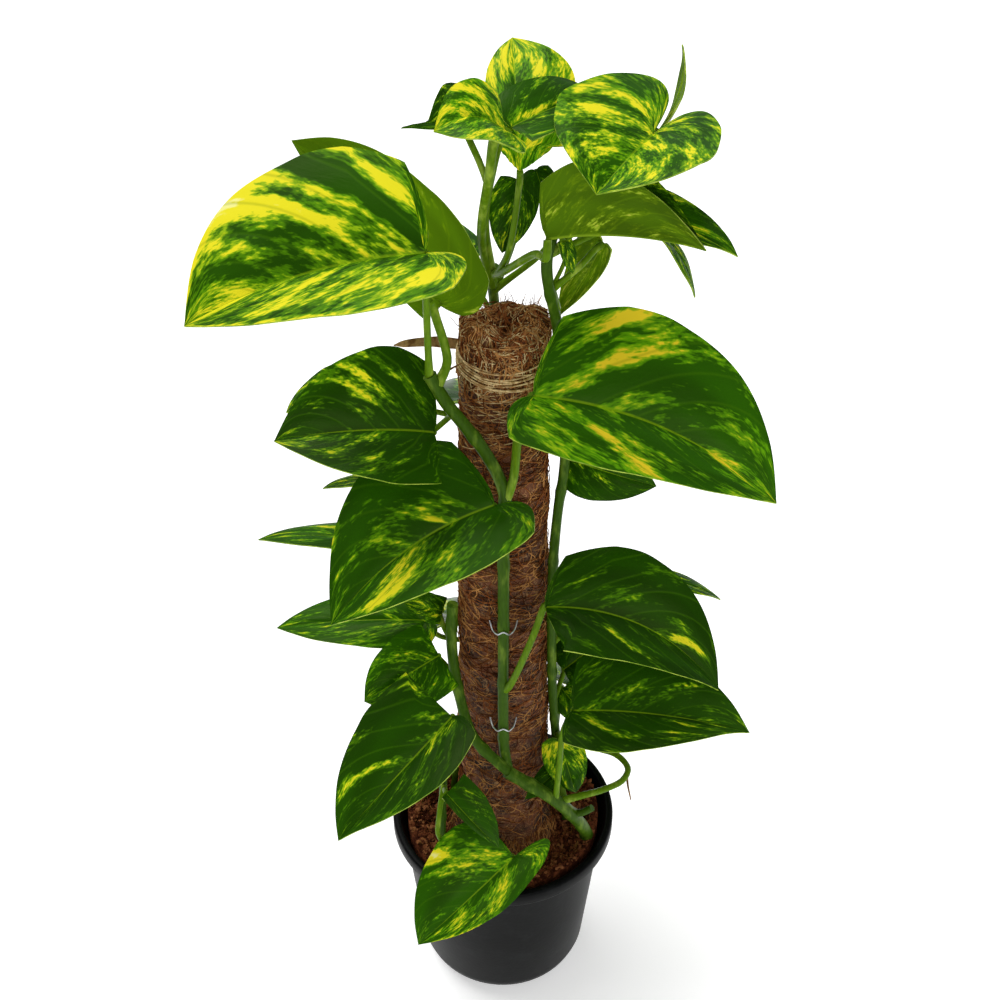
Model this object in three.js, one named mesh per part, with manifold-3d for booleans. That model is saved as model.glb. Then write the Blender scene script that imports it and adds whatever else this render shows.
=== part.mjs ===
// A golden pothos climbing a coir pole in a black nursery pot.
// Millimetres, +Z up. The origin is the centre of the pot's foot, on the surface it stands on.
// The plant's show side looks towards -Y.
import * as THREE from "three";
import { mergeVertices } from "three/addons/utils/BufferGeometryUtils.js";
import Module from "manifold-3d";

// Driving dimensions
const GAP = 0.35; // clearance between pieces that touch
const POT_HEIGHT = 140;
const RIM_RADIUS = 75;
const RIM_HEIGHT = 11;
const MOUTH_RADIUS = 70;
const FOOT_RADIUS = 45;
const FOOT_HEIGHT = 6;
const BODY_BASE_RADIUS = 58;
const BODY_BASE_HEIGHT = 20;
const POT_WALL = 2;
const DRAIN_SLOTS = 6;
const SOIL_LEVEL = 126;
const POLE_BOTTOM = 30;
const POLE_TOP = 524;
const SLEEVE_TOP_RADIUS = 22.5;
const SLEEVE_BASE_RADIUS = 29;
const SKIRT_RADIUS = 36;
const SKIRT_HEIGHT = 30; // how far the loose fibre at the pole's foot reaches above the soil
const SLEEVE_LUMPS = 0.85; // how far the fibre swells out or in
const CORE_RADIUS = 9;
const CORE_RECESS = 15; // the core ends this far below the sleeve's ragged top
const BLADE = 0.8; // thickness of a leaf blade
const STEM_RADIUS = 3.5;
const OLD_STEM_RADIUS = 4.4;
const SIDE_STEM_RADIUS = 3;
const PETIOLE_RADIUS = 1.8;

const wasm = await Module();
wasm.setup();

const vector = (point) => new THREE.Vector3(...point);
const radians = THREE.MathUtils.degToRad;

// Solids: closed meshes to and from the boolean library

function weld(geometry) {
  const bare = geometry.clone();
  bare.deleteAttribute("normal");
  bare.deleteAttribute("uv");
  return mergeVertices(bare, 1e-3);
}

function solidOf(geometry) {
  const welded = weld(geometry);
  return new wasm.Manifold(
    new wasm.Mesh({
      numProp: 3,
      vertProperties: new Float32Array(welded.attributes.position.array),
      triVerts: new Uint32Array(welded.index.array),
    }),
  );
}

function geometryOf(solid) {
  const mesh = solid.getMesh();
  const geometry = new THREE.BufferGeometry();
  geometry.setAttribute("position", new THREE.BufferAttribute(mesh.vertProperties, 3));
  geometry.setIndex(new THREE.BufferAttribute(mesh.triVerts, 1));
  return geometry;
}

const fused = (geometries) => geometryOf(geometries.map(solidOf).reduce((whole, part) => whole.add(part)));

const root = new THREE.Group();

function addPiece(name, geometry, material) {
  const piece = new THREE.Mesh(geometry, material);
  piece.name = name;
  root.add(piece);
}

const finish = (color, roughness, metalness = 0) =>
  new THREE.MeshStandardMaterial({ color, roughness, metalness });

// Tubes: stems, petioles, roots, twine and wire

function tube(points, radius, sides, spacing) {
  const path = new THREE.CatmullRomCurve3(points.map(vector), false, "centripetal");
  const section = new THREE.Shape();
  for (let side = 0; side < sides; side++) {
    const turn = (2 * Math.PI * side) / sides;
    section[side ? "lineTo" : "moveTo"](radius * Math.cos(turn), radius * Math.sin(turn));
  }
  const steps = Math.max(2, Math.round(path.getLength() / spacing));
  return new THREE.ExtrudeGeometry(section, { steps, bevelEnabled: false, extrudePath: path });
}

// Lathe profiles are written as [radius, height] and turned about Z

function lathe(profile, segments) {
  const points = profile.map(([radius, height]) => new THREE.Vector2(radius, height));
  return weld(new THREE.LatheGeometry(points, segments).rotateX(Math.PI / 2));
}

// Pot: a tapered shell with a rolled rim, on a flat foot with drain slots round its edge

function potGeometry() {
  const underRim = POT_HEIGHT - RIM_HEIGHT;
  const bodyTop = MOUTH_RADIUS - 2;
  const innerBase = BODY_BASE_RADIUS - POT_WALL;
  const shell = lathe(
    [
      [0, 0],
      [FOOT_RADIUS, 0],
      [FOOT_RADIUS + 1, FOOT_HEIGHT],
      [BODY_BASE_RADIUS - 7, FOOT_HEIGHT + 2],
      [BODY_BASE_RADIUS - 2, BODY_BASE_HEIGHT - 6],
      [BODY_BASE_RADIUS, BODY_BASE_HEIGHT],
      [bodyTop, underRim],
      [RIM_RADIUS - 1, underRim],
      [RIM_RADIUS, underRim + 2],
      [RIM_RADIUS, POT_HEIGHT - 2],
      [RIM_RADIUS - 1.5, POT_HEIGHT],
      [MOUTH_RADIUS + 1, POT_HEIGHT],
      [MOUTH_RADIUS, POT_HEIGHT - 1],
      [bodyTop - POT_WALL, underRim - 2],
      [innerBase, BODY_BASE_HEIGHT + 1],
      [innerBase - 3, FOOT_HEIGHT + 8],
      [innerBase - 8, FOOT_HEIGHT + 4],
      [FOOT_RADIUS - 1.5, FOOT_HEIGHT + 3],
      [FOOT_RADIUS - 2.5, POT_WALL],
      [0, POT_WALL],
    ],
    32,
  );
  let pot = solidOf(shell);
  for (let slot = 0; slot < DRAIN_SLOTS; slot++) {
    const turn = (2 * Math.PI * slot) / DRAIN_SLOTS;
    const cut = new THREE.BoxGeometry(12, 16, 2 * FOOT_HEIGHT - 2).translate(FOOT_RADIUS, 0, 0);
    pot = pot.subtract(solidOf(cut.rotateZ(turn)));
  }
  return geometryOf(pot);
}

// Coir pole: a lumpy fibre sleeve round a plain core

function sleeveRadius(height) {
  const share = (height - SOIL_LEVEL - SKIRT_HEIGHT) / (POLE_TOP - SOIL_LEVEL - SKIRT_HEIGHT);
  return THREE.MathUtils.lerp(SLEEVE_BASE_RADIUS, SLEEVE_TOP_RADIUS, share);
}

const lump = (turn, height) =>
  SLEEVE_LUMPS * (0.6 * Math.sin(3 * turn + height / 9) + 0.4 * Math.sin(5 * turn - height / 6));

function sleeveGeometry() {
  const skirtFoot = SOIL_LEVEL + 2 * GAP;
  const buried = SLEEVE_BASE_RADIUS - 1;
  const profile = [
    [CORE_RADIUS + GAP, POLE_BOTTOM],
    [buried, POLE_BOTTOM],
    [buried, skirtFoot],
    [SKIRT_RADIUS, skirtFoot],
    [SKIRT_RADIUS - 2, skirtFoot + 8],
    [SLEEVE_BASE_RADIUS + 1.5, skirtFoot + 18],
  ];
  const rings = 13;
  for (let ring = 0; ring <= rings; ring++) {
    const height = THREE.MathUtils.lerp(SOIL_LEVEL + SKIRT_HEIGHT, POLE_TOP - 5, ring / rings);
    profile.push([sleeveRadius(height), height]);
  }
  profile.push([SLEEVE_TOP_RADIUS - 3, POLE_TOP]);
  profile.push([CORE_RADIUS + 2, POLE_TOP - 2]);
  profile.push([CORE_RADIUS + GAP, POLE_TOP - CORE_RECESS]);
  profile.push([CORE_RADIUS + GAP, POLE_BOTTOM]);
  const sleeve = lathe(profile, 22);
  const place = sleeve.attributes.position;
  for (let i = 0; i < place.count; i++) {
    const [x, y, z] = [place.getX(i), place.getY(i), place.getZ(i)];
    const radius = Math.hypot(x, y);
    if (z < skirtFoot + 1 || radius < CORE_RADIUS + 1) continue;
    const turn = Math.atan2(y, x);
    const swell = (radius + lump(turn, z)) / radius;
    const ragged = z > POLE_TOP - 4 ? 2.5 * Math.sin(2 * turn + 1) + 1.5 * Math.sin(5 * turn) : 0;
    place.setXYZ(i, x * swell, y * swell, z + ragged);
  }
  return sleeve;
}

function coreGeometry() {
  const height = POLE_TOP - CORE_RECESS - POLE_BOTTOM;
  const core = new THREE.CylinderGeometry(CORE_RADIUS, CORE_RADIUS, height, 22).rotateX(Math.PI / 2);
  return core.translate(0, 0, POLE_BOTTOM + height / 2);
}

// Clear of the sleeve's lumps
const onSleeve = (height, radius) => sleeveRadius(height) + SLEEVE_LUMPS + GAP + radius;

// Twine wound round the pole's head, and the wire pins that hold the stem to the pole

function twineGeometry() {
  const turns = 2.5;
  const stations = 35;
  const radius = 1;
  const points = [];
  for (let station = 0; station <= stations; station++) {
    const turn = (2 * Math.PI * turns * station) / stations;
    const height = 512 - (16 * station) / stations + 2 * Math.sin(turn);
    const reach = onSleeve(height, radius);
    points.push([reach * Math.cos(turn), reach * Math.sin(turn), height]);
  }
  return tube(points, radius, 4, 9);
}

function pinGeometry(stemY, height) {
  const wire = 0.5;
  const hug = STEM_RADIUS + GAP + 1.2 * wire;
  const prong = (x) => -Math.sqrt(onSleeve(height, 2 * wire) ** 2 - x * x);
  const points = [
    [-8, prong(8), height + 1],
    [-6, stemY - 1, height - 1],
    [-hug * 0.75, stemY - hug * 0.75, height - 2],
    [0, stemY - hug - 0.2, height + 1],
    [hug * 0.75, stemY - hug * 0.75, height - 2],
    [6, stemY - 1, height - 1],
    [8, prong(8), height + 1],
  ];
  return tube(points, wire, 4, 2.4);
}

// Leaves
// A blade is a half-outline from the sinus to the tip, mirrored at the midrib. Ribs run from the midrib to the
// margin and lean towards the tip, as the lateral veins do. In the lobes they fan out from the junction.

// Half-outline: along is a share of the length (ahead of the junction) or of the lobe (behind it), across is a
// share of the half-width, and the third number is what a full leaf has on top of that.
const OUTLINE = [
  [0, 0, 0],
  [-0.78, 0.15, 0],
  [-1, 0.43, 0],
  [-0.5, 0.8, 0],
  [0.2, 1, 0],
  [0.46, 0.87, 0.1],
  [0.7, 0.55, 0.3],
  [0.88, 0.2, 0.32],
  [1, 0, 0],
];
const FAN = 0.36; // share of the outline served by ribs that start at the junction
const SHORTEST_LOBE = 2; // a half with less than this has no lobe
const STUB_START = 0.43; // where the outline of a half with no lobe sets off, straight from the junction
const VEIN_LEAN = 1.35;
const SHOULDER = [-0.5, 0.2]; // the outline turns from lobe to blade between these
const LOBE_DROOP = 0.5; // lobes follow the midrib's bow and bend by this share

function catmullRom(p0, p1, p2, p3, t) {
  const linear = 2 * p1 + (p2 - p0) * t;
  const square = (2 * p0 - 5 * p1 + 4 * p2 - p3) * t * t;
  const cube = (3 * p1 - p0 - 3 * p2 + p3) * t * t * t;
  return (linear + square + cube) / 2;
}

function outlineAt(u) {
  const last = OUTLINE.length - 1;
  const place = u * last;
  const index = Math.min(Math.floor(place), last - 1);
  const pick = (offset) => OUTLINE[THREE.MathUtils.clamp(index + offset, 0, last)];
  return [0, 1, 2].map((axis) =>
    catmullRom(pick(-1)[axis], pick(0)[axis], pick(1)[axis], pick(2)[axis], place - index),
  );
}

// How far along a lobed half's margin lies, which rounds its shoulder however short the lobe is.
function lobedMargin(ex, onBlade, lobe, length) {
  const [from, to] = SHOULDER;
  if (onBlade && ex > from && ex < to) {
    return THREE.MathUtils.mapLinear(ex, from, to, from * lobe, to * length);
  }
  return ex < 0 ? ex * lobe : ex * length;
}

// A leaf's frame: along the midrib's chord, across to the left half, and up out of the upper face.
function leafFrame(leaf) {
  const base = vector(leaf.base);
  const along = vector(leaf.tip).sub(base);
  const length = along.length();
  along.normalize();
  const up = vector(leaf.face);
  up.addScaledVector(along, -up.dot(along)).normalize();
  const across = new THREE.Vector3().crossVectors(up, along);
  return { base, along, across, up, length };
}

// The middle surface of a blade. u runs from the sinus (0) to the tip (1), w from the midrib (0) to the margin,
// positive on the left half and negative on the right.
function leafPoint(leaf, frame, u, w) {
  const side = w < 0 ? 1 : 0;
  const share = Math.abs(w);
  const half = leaf.half[side];
  const lobed = leaf.lobe[side] >= SHORTEST_LOBE;
  const place = lobed ? u : Math.max(u, STUB_START);
  const [ex, slim, fuller] = outlineAt(place);
  const marginAlong = lobed
    ? lobedMargin(ex, u > FAN / 2, leaf.lobe[side], frame.length)
    : Math.max(-leaf.lobe[side], ex * frame.length);
  const rib = Math.max(0, (u - FAN) / (1 - FAN)) * frame.length;
  const along = rib + (marginAlong - rib) * share ** VEIN_LEAN;
  const taper = 1 - leaf.taper * (1 - THREE.MathUtils.clamp(ex, 0, 1));
  const tipWidth = u < 1 ? 0.03 : 0;
  const reach = Math.max(slim + leaf.full[side] * fuller, Math.min(slim, tipWidth)) * taper * share;
  const fold = radians(leaf.fold[side]);
  const curl = radians(leaf.curl[side]);
  const across = (half / curl) * (Math.sin(fold + curl * reach) - Math.sin(fold));
  const lift = (half / curl) * (Math.cos(fold) - Math.cos(fold + curl * reach));
  const ripple = leaf.wave * share * reach * Math.sin(2 * Math.PI * (leaf.waves * place + 0.25 * side));
  const s = along / frame.length;
  const bow = 4 * s * (1 - s) * (s < 0 ? LOBE_DROOP : 1);
  const point = frame.base.clone();
  point.addScaledVector(frame.along, along);
  point.addScaledVector(frame.across, leaf.bend * bow + (side ? -across : across));
  point.addScaledVector(frame.up, lift + ripple + leaf.arch * bow);
  return point;
}

// A closed blade: a grid folded into the leaf, copied above and below its middle surface, and walled all round.
function bladeGeometry(leaf) {
  const frame = leafFrame(leaf);
  const large = frame.length > 70 || leaf.half[0] + leaf.half[1] > 60;
  const grid = new THREE.PlaneGeometry(2, 1, 4, large ? 10 : 7);
  const place = grid.attributes.position;
  for (let i = 0; i < place.count; i++) {
    const point = leafPoint(leaf, frame, 0.5 - place.getY(i), place.getX(i));
    place.setXYZ(i, point.x, point.y, point.z);
  }
  const middle = weld(grid);
  middle.computeVertexNormals();
  for (let i = 0; i < grid.index.count; i++) {
    const onMidrib = grid.attributes.uv.getX(grid.index.getX(i)) === 0.5;
    if (onMidrib) middle.attributes.normal.setXYZ(middle.index.getX(i), ...frame.up.toArray());
  }
  const below = middle.attributes.position.count;
  const positions = [];
  for (const side of [0.5, -0.5]) {
    for (let i = 0; i < below; i++) {
      const point = new THREE.Vector3().fromBufferAttribute(middle.attributes.position, i);
      const normal = new THREE.Vector3().fromBufferAttribute(middle.attributes.normal, i);
      positions.push(...point.addScaledVector(normal, side * BLADE));
    }
  }
  const index = [];
  const edges = new Map();
  for (let i = 0; i < middle.index.count; i += 3) {
    const [a, b, c] = [0, 1, 2].map((corner) => middle.index.getX(i + corner));
    if (a === b || b === c || c === a) continue;
    index.push(a, b, c, below + c, below + b, below + a);
    for (const edge of [[a, b], [b, c], [c, a]]) edges.set(edge.join(), edge);
  }
  for (const [from, to] of edges.values()) {
    if (edges.has([to, from].join())) continue;
    index.push(from, below + from, to, to, below + from, below + to);
  }
  const blade = new THREE.BufferGeometry();
  blade.setAttribute("position", new THREE.Float32BufferAttribute(positions, 3));
  blade.setIndex(index);
  return blade;
}

// What a leaf has unless its own entry says otherwise. half: half-widths, left and right of the midrib. lobe: how
// far the lobes reach behind the junction. fold: each half's rise from the face, in degrees. curl: how much
// further it turns by the margin. full: bluntness. taper: how much narrower the base is. arch and bend: the
// midrib's bow upwards and to the left. wave and waves: the margin's ripple. stalk: the petiole's radius.
const LEAF_DEFAULTS = {
  lobe: [4, 4],
  full: [0.3, 0.3],
  taper: 0,
  fold: [12, 12],
  curl: [-30, -30],
  arch: 4,
  bend: 0,
  wave: 1,
  waves: 2,
  stalk: PETIOLE_RADIUS,
};

// base: where the petiole meets the blade. tip: the leaf's point. face: where the upper side looks.
// petiole: its way from the stem to just under the base.
const LEAVES = {
  crown_left: {
    base: [-37, -45, 588], tip: [-151, -62, 558], face: [-0.1, -0.75, 0.66],
    half: [42, 58], lobe: [17, 5], full: [0.35, 0.9], fold: [48, 4], curl: [-10, -20], bend: -6, wave: 1.5,
    vine: "vine_main", petiole: [[-38, -30, 508], [-38, -35, 543], [-37.5, -39, 566]], stalk: 2,
  },
  crown_left_back: {
    base: [-34, -8, 539], tip: [-105, 22, 614], face: [0, 0.9, -0.1],
    half: [36, 14], lobe: [16, 3], full: [0.8, 0.2], fold: [8, 8], curl: [-12, -12],
    vine: "vine_main", petiole: [[-34, -30, 504], [-29, -24, 514]], stalk: 2.6,
  },
  upper_left: {
    base: [-37, -20, 467], tip: [-119, -42, 477], face: [0, -0.8, 0.6],
    half: [36, 45], lobe: [-3, 2], full: [0.3, 0.5], fold: [42, 4], curl: [-10, -20], bend: -3,
    vine: "vine_main", petiole: [[-27, -31, 488], [-29, -17, 475]],
  },
  mid_left: {
    base: [-5, -46, 438], tip: [-91, -90, 392], face: [-0.1, -0.75, 0.66],
    half: [39, 53], lobe: [14, 4], full: [0.3, 0.3], fold: [42, 4], curl: [-10, -20], bend: -8,
    vine: "vine_main", petiole: [[0, -31, 422], [-3, -36, 427]],
  },
  upper_right: {
    base: [15, -46, 508], tip: [139, -70, 458], face: [0.1, -0.75, 0.66],
    half: [56, 38], lobe: [4, 9], full: [0.7, 0.3], fold: [4, 36], curl: [-20, -10], bend: 11, wave: 1.5,
    vine: "vine_main", petiole: [[1, -31, 430], [5, -33, 445], [8, -36, 480]], stalk: 2.6,
  },
  upper_right_back: {
    base: [38, 14, 424], tip: [87, 2, 414], face: [0, -0.9, 0.45],
    half: [20, 19], lobe: [4, 4],
    vine: "vine_right", petiole: [[30, -6, 392], [33, 8, 396], [37, 19, 410]],
  },
  mid_right: {
    base: [24, -46, 365], tip: [122, -70, 323], face: [0.1, -0.75, 0.66],
    half: [40, 32], lobe: [4, -16], full: [0.6, 0.2], fold: [4, 42], curl: [-20, -10], bend: 14,
    vine: "vine_main", petiole: [[0, -32, 284], [4, -37, 294], [16, -42, 335]], stalk: 2.3,
  },
  mid_right_thin: {
    base: [80, 15, 335], tip: [133, 10, 320], face: [0, 0.2, 1],
    half: [12, 10], lobe: [3, 3],
    vine: "vine_right", petiole: [[28, -10, 300], [45, 0, 312], [70, 14, 326]],
  },
  mid_right_inner: {
    base: [38, 4, 266], tip: [78, 14, 300], face: [-0.1, -0.8, 0.6],
    half: [24, 24], lobe: [1, 1], full: [0.4, 0.6], fold: [4, 30],
    vine: "vine_right", petiole: [[31, -7, 243], [36, 5, 252]],
  },
  low_right_inner: {
    base: [38, 8, 245], tip: [60, -6, 222], face: [0, -0.8, 0.6],
    half: [11, 11], lobe: [1, 1],
    vine: "vine_right", petiole: [[34, -5, 212], [36, 8, 228]],
  },
  low_right: {
    base: [41, -56, 292], tip: [141, -80, 299], face: [0.05, -0.75, 0.66],
    half: [38, 27], lobe: [2, 4], full: [0.6, -0.1], fold: [4, 38], curl: [-20, -10], bend: 4,
    vine: "vine_main", petiole: [[33, -45, 199], [34.5, -47, 230], [36.5, -48, 268]], stalk: 2,
  },
  low_left: {
    base: [-30, -60, 291], tip: [-96, -110, 240], face: [-0.1, -0.75, 0.66],
    half: [28, 40], lobe: [5, 0], full: [0, 0.4], fold: [42, 4], curl: [-10, -20],
    vine: "vine_main", petiole: [[-18, -37, 248], [-26, -44, 265]],
  },
  low_left_round: {
    base: [-39, -18, 300], tip: [-83, -44, 287], face: [-0.1, -0.75, 0.66],
    half: [23, 24], lobe: [1, 1], full: [0.6, 0.6],
    vine: "vine_main", petiole: [[-28.3, -23, 284], [-36, -13, 288]],
  },
  mid_left_back: {
    base: [-48, 10, 303], tip: [-143, 20, 287], face: [0, -0.3, 1],
    half: [20, 24], lobe: [8, 8],
    vine: "vine_left", petiole: [[-22, 21, 275], [-40, 14, 286]],
  },
  mid_left_small: {
    base: [-37, -2, 322], tip: [-60, -4, 331], face: [0, -0.75, 0.66],
    half: [9, 9], lobe: [1, 1],
    vine: "vine_main", petiole: [[-30, -16, 308], [-36, -6, 312]],
  },
  left_thin: {
    base: [-60, 2, 372], tip: [-143, 0, 376], face: [0, 0.1, 1],
    half: [16, 16], lobe: [5, 5],
    vine: "vine_left", petiole: [[-21, 20, 345], [-42, 10, 356]],
  },
  left_dark: {
    base: [-62, 17, 404], tip: [-104, 10, 406], face: [0, 0.1, 1],
    half: [9, 9], lobe: [3, 3],
    vine: "vine_left", petiole: [[-20, 20, 382], [-45, 18, 390]],
  },
  upper_left_back: {
    base: [-82, 20, 474], tip: [-122, 20, 452], face: [0, -0.4, 0.9],
    half: [14, 14],
    vine: "vine_left", petiole: [[-19, 20, 448], [-50, 18, 458]],
  },
  crown_peak: {
    base: [7.5, -10, 613], tip: [4, 50, 655], face: [0, -0.75, 0.65],
    half: [23, 44], lobe: [-10, -10], full: [0.6, 0.8], taper: 0.6, fold: [8, 8],
    vine: "vine_back", petiole: [[-5, 24, 538], [-2, 10, 549], [3, -2, 568]],
  },
  crown_front: {
    base: [0, -40, 646.5], tip: [-31, -54, 652], face: [0, -0.75, 0.66],
    half: [20, 19], lobe: [7, 0], full: [0.9, 0.7], fold: [48, 6], curl: [-20, -25], bend: -5,
    vine: "vine_back", petiole: [[-6, 27, 530], [-11, 16, 560], [-11, 4, 578], [-7, -22, 616]], stalk: 2.7,
  },
  crown_front_right: {
    base: [3, -34, 645.5], tip: [43, 8, 643], face: [0, -0.75, 0.66],
    half: [18, 14], lobe: [2, 0], full: [0.8, 0.6], fold: [4, 30], curl: [-25, -10],
    vine: "vine_back", petiole: [[-5, 26, 533], [-9, 10, 575], [-5, -14, 616]],
  },
  crown_right: {
    base: [68, -25.5, 638.3], tip: [40.5, -64, 627], face: [0, -0.75, 0.66],
    half: [38, 44], lobe: [25, 36], full: [0.5, 0.7], fold: [44, 4], curl: [-12, -20], arch: 3,
    vine: "vine_right", petiole: [[26, -15, 540], [21, -24, 575], [33, -10, 604], [58, -8, 619]], stalk: 2.4,
  },
  crown_spike: {
    base: [74, 2, 627], tip: [84, 20, 663], face: [1, 0.1, 0],
    half: [8, 8], lobe: [3, 3], bend: 2,
    vine: "vine_right", petiole: [[33, -10, 604], [62, 2, 610]],
  },
  crown_right_back: {
    base: [51, -22, 605], tip: [107, -60, 594], face: [0.1, -0.6, 0.8],
    half: [14, 11], lobe: [3, 3], full: [0.6, -0.2],
    vine: "vine_right", petiole: [[21, -24, 575], [38, -14, 586]],
  },
  crown_right_front: {
    base: [20.3, -42, 593.8], tip: [90.3, -72, 603.7], face: [0.06, 0.44, 0.9],
    half: [38, 34], lobe: [3, 3], full: [0.2, 0.2], fold: [72, 72], curl: [-8, -8],
    vine: "vine_back", petiole: [[-5, 24, 538], [-1, 8, 548], [15, -26, 577]], stalk: 2.2,
  },
  crown_drooping: {
    base: [70, -20, 590], tip: [92, -40, 561], face: [1, -0.4, 0.2],
    half: [7, 7], lobe: [2, 2],
    vine: "vine_right", petiole: [[21, -24, 575], [50, -8, 580]],
  },
  crown_hanging: {
    base: [29, -31, 586], tip: [33, -33, 570], face: [0.3, -0.9, 0.2],
    half: [4, 4], lobe: [1, 1], arch: 1,
    vine: "vine_right", petiole: [[24, -17, 553], [30, -20, 572]], stalk: 1.2,
  },
  pole_top_right: {
    base: [49, -8, 573], tip: [28, 12, 518], face: [0.4, 0.8, -0.3],
    half: [14, 7], lobe: [2, 2], full: [0.3, 0],
    vine: "vine_right", petiole: [[24, -18, 553], [38, -20, 568]],
  },
  crown_inner: {
    base: [8, 22, 591], tip: [-1, 14, 556], face: [0, -0.9, 0.3],
    half: [12, 13], lobe: [2, 2],
    vine: "vine_back", petiole: [[-5, 29, 524], [6, 33, 556], [9, 33, 578]],
  },
  crown_curled: {
    base: [16, 12, 602], tip: [21, 4, 590], face: [0, -0.9, 0.4],
    half: [8, 8], lobe: [2, 2], arch: 1,
    vine: "vine_back", petiole: [[-5, 28, 526], [24, 26, 556], [23, 21, 586]],
  },
  crown_left_small: {
    base: [-15, -12, 638], tip: [-47, -30, 643], face: [0, -0.75, 0.66],
    half: [5, 19], lobe: [0, -4], full: [0, -2],
    vine: "vine_back", petiole: [[-7.5, -17, 609], [-12, -18, 622]],
  },
  soil_right: {
    base: [36, -20, 226], tip: [47, -30, 189], face: [0, -0.8, 0.6],
    half: [14, 14],
    vine: "vine_main",
    petiole: [
      [36, -43, 196], [51, -40, 198], [64, -42, 206], [75, -38, 209], [79.6, -30, 210], [78, -22, 209],
      [72, -14, 208], [60, -6, 205], [48, -4, 212],
    ],
    stalk: 2.2,
  },
  soil_right_dark: {
    base: [42, -14, 200], tip: [14, -36, 189], face: [0, -0.6, 0.8],
    half: [9, 9], lobe: [1, 1],
    vine: "vine_right", petiole: [[37, -4, 180], [42, -9, 187]],
  },
  pot_front: {
    base: [6, -72, 176], tip: [-53, -110, 139], face: [0, -0.75, 0.66],
    half: [20, 40], lobe: [24, 2], full: [0.2, 0.5],
    vine: "vine_pot_front", petiole: [[-37, -46, 215], [-40, -58, 201], [-40, -64, 186], [-22, -62, 172]],
  },
  pot_front_folded: {
    base: [-35, -60, 223], tip: [-3, -74, 189], face: [0, -0.75, 0.66],
    half: [17, 4], lobe: [1, 0],
    vine: "vine_pot_front", petiole: [[-37, -42, 206], [-36, -50, 213]],
  },
  back_crown_left: {
    base: [-34, 42, 538], tip: [-104, 100, 537], face: [-0.2, 0.2, 0.95],
    half: [36, 36], lobe: [14, 14],
    vine: "vine_back", petiole: [[-4, 30, 505], [-16, 38, 522]],
  },
  back_upper_right: {
    base: [42, 44, 455], tip: [120, 108, 410], face: [0.3, 0.4, 0.86],
    half: [40, 40], lobe: [15, 15],
    vine: "vine_back", petiole: [[-1, 32, 425], [20, 42, 438]],
  },
  back_upper_left: {
    base: [-22, 52, 386], tip: [-82, 118, 306], face: [-0.4, 0.5, 0.76],
    half: [40, 40], lobe: [15, 15],
    vine: "vine_back", petiole: [[-1, 34, 360], [-10, 44, 372]],
  },
  back_centre: {
    base: [-6, 66, 430], tip: [-8, 146, 392], face: [0, 0.35, 0.93],
    half: [34, 34], lobe: [13, 13],
    vine: "vine_back", petiole: [[-1, 33, 390], [-4, 48, 410]],
  },
  back_mid_right: {
    base: [44, 46, 289], tip: [118, 112, 230], face: [0.4, 0.4, 0.82],
    half: [42, 42], lobe: [16, 16],
    vine: "vine_back", petiole: [[0, 35, 262], [22, 44, 276]],
  },
  back_mid_left: {
    base: [-30, 58, 262], tip: [-80, 128, 196], face: [-0.3, 0.5, 0.8],
    half: [38, 38], lobe: [14, 14],
    vine: "vine_back", petiole: [[0, 36, 235], [-14, 48, 250]],
  },
  back_low_right: {
    base: [50, 52, 202], tip: [118, 112, 140], face: [0.4, 0.4, 0.82],
    half: [34, 34], lobe: [13, 13],
    vine: "vine_back", petiole: [[0, 38, 172], [26, 48, 190]],
  },
};

// What is left of the sheath that a young leaf came out of
const DRY_SHEATH = {
  base: [-24.5, 20.5, 497], tip: [-60, 24, 494], face: [0, -0.6, 0.8],
  half: [3, 3], lobe: [0, 0], full: [0.9, 0.9],
};

// Vines: climbing stems with the petioles, roots and stubs that grow from them. The first stem of each starts
// in the soil.

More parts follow.
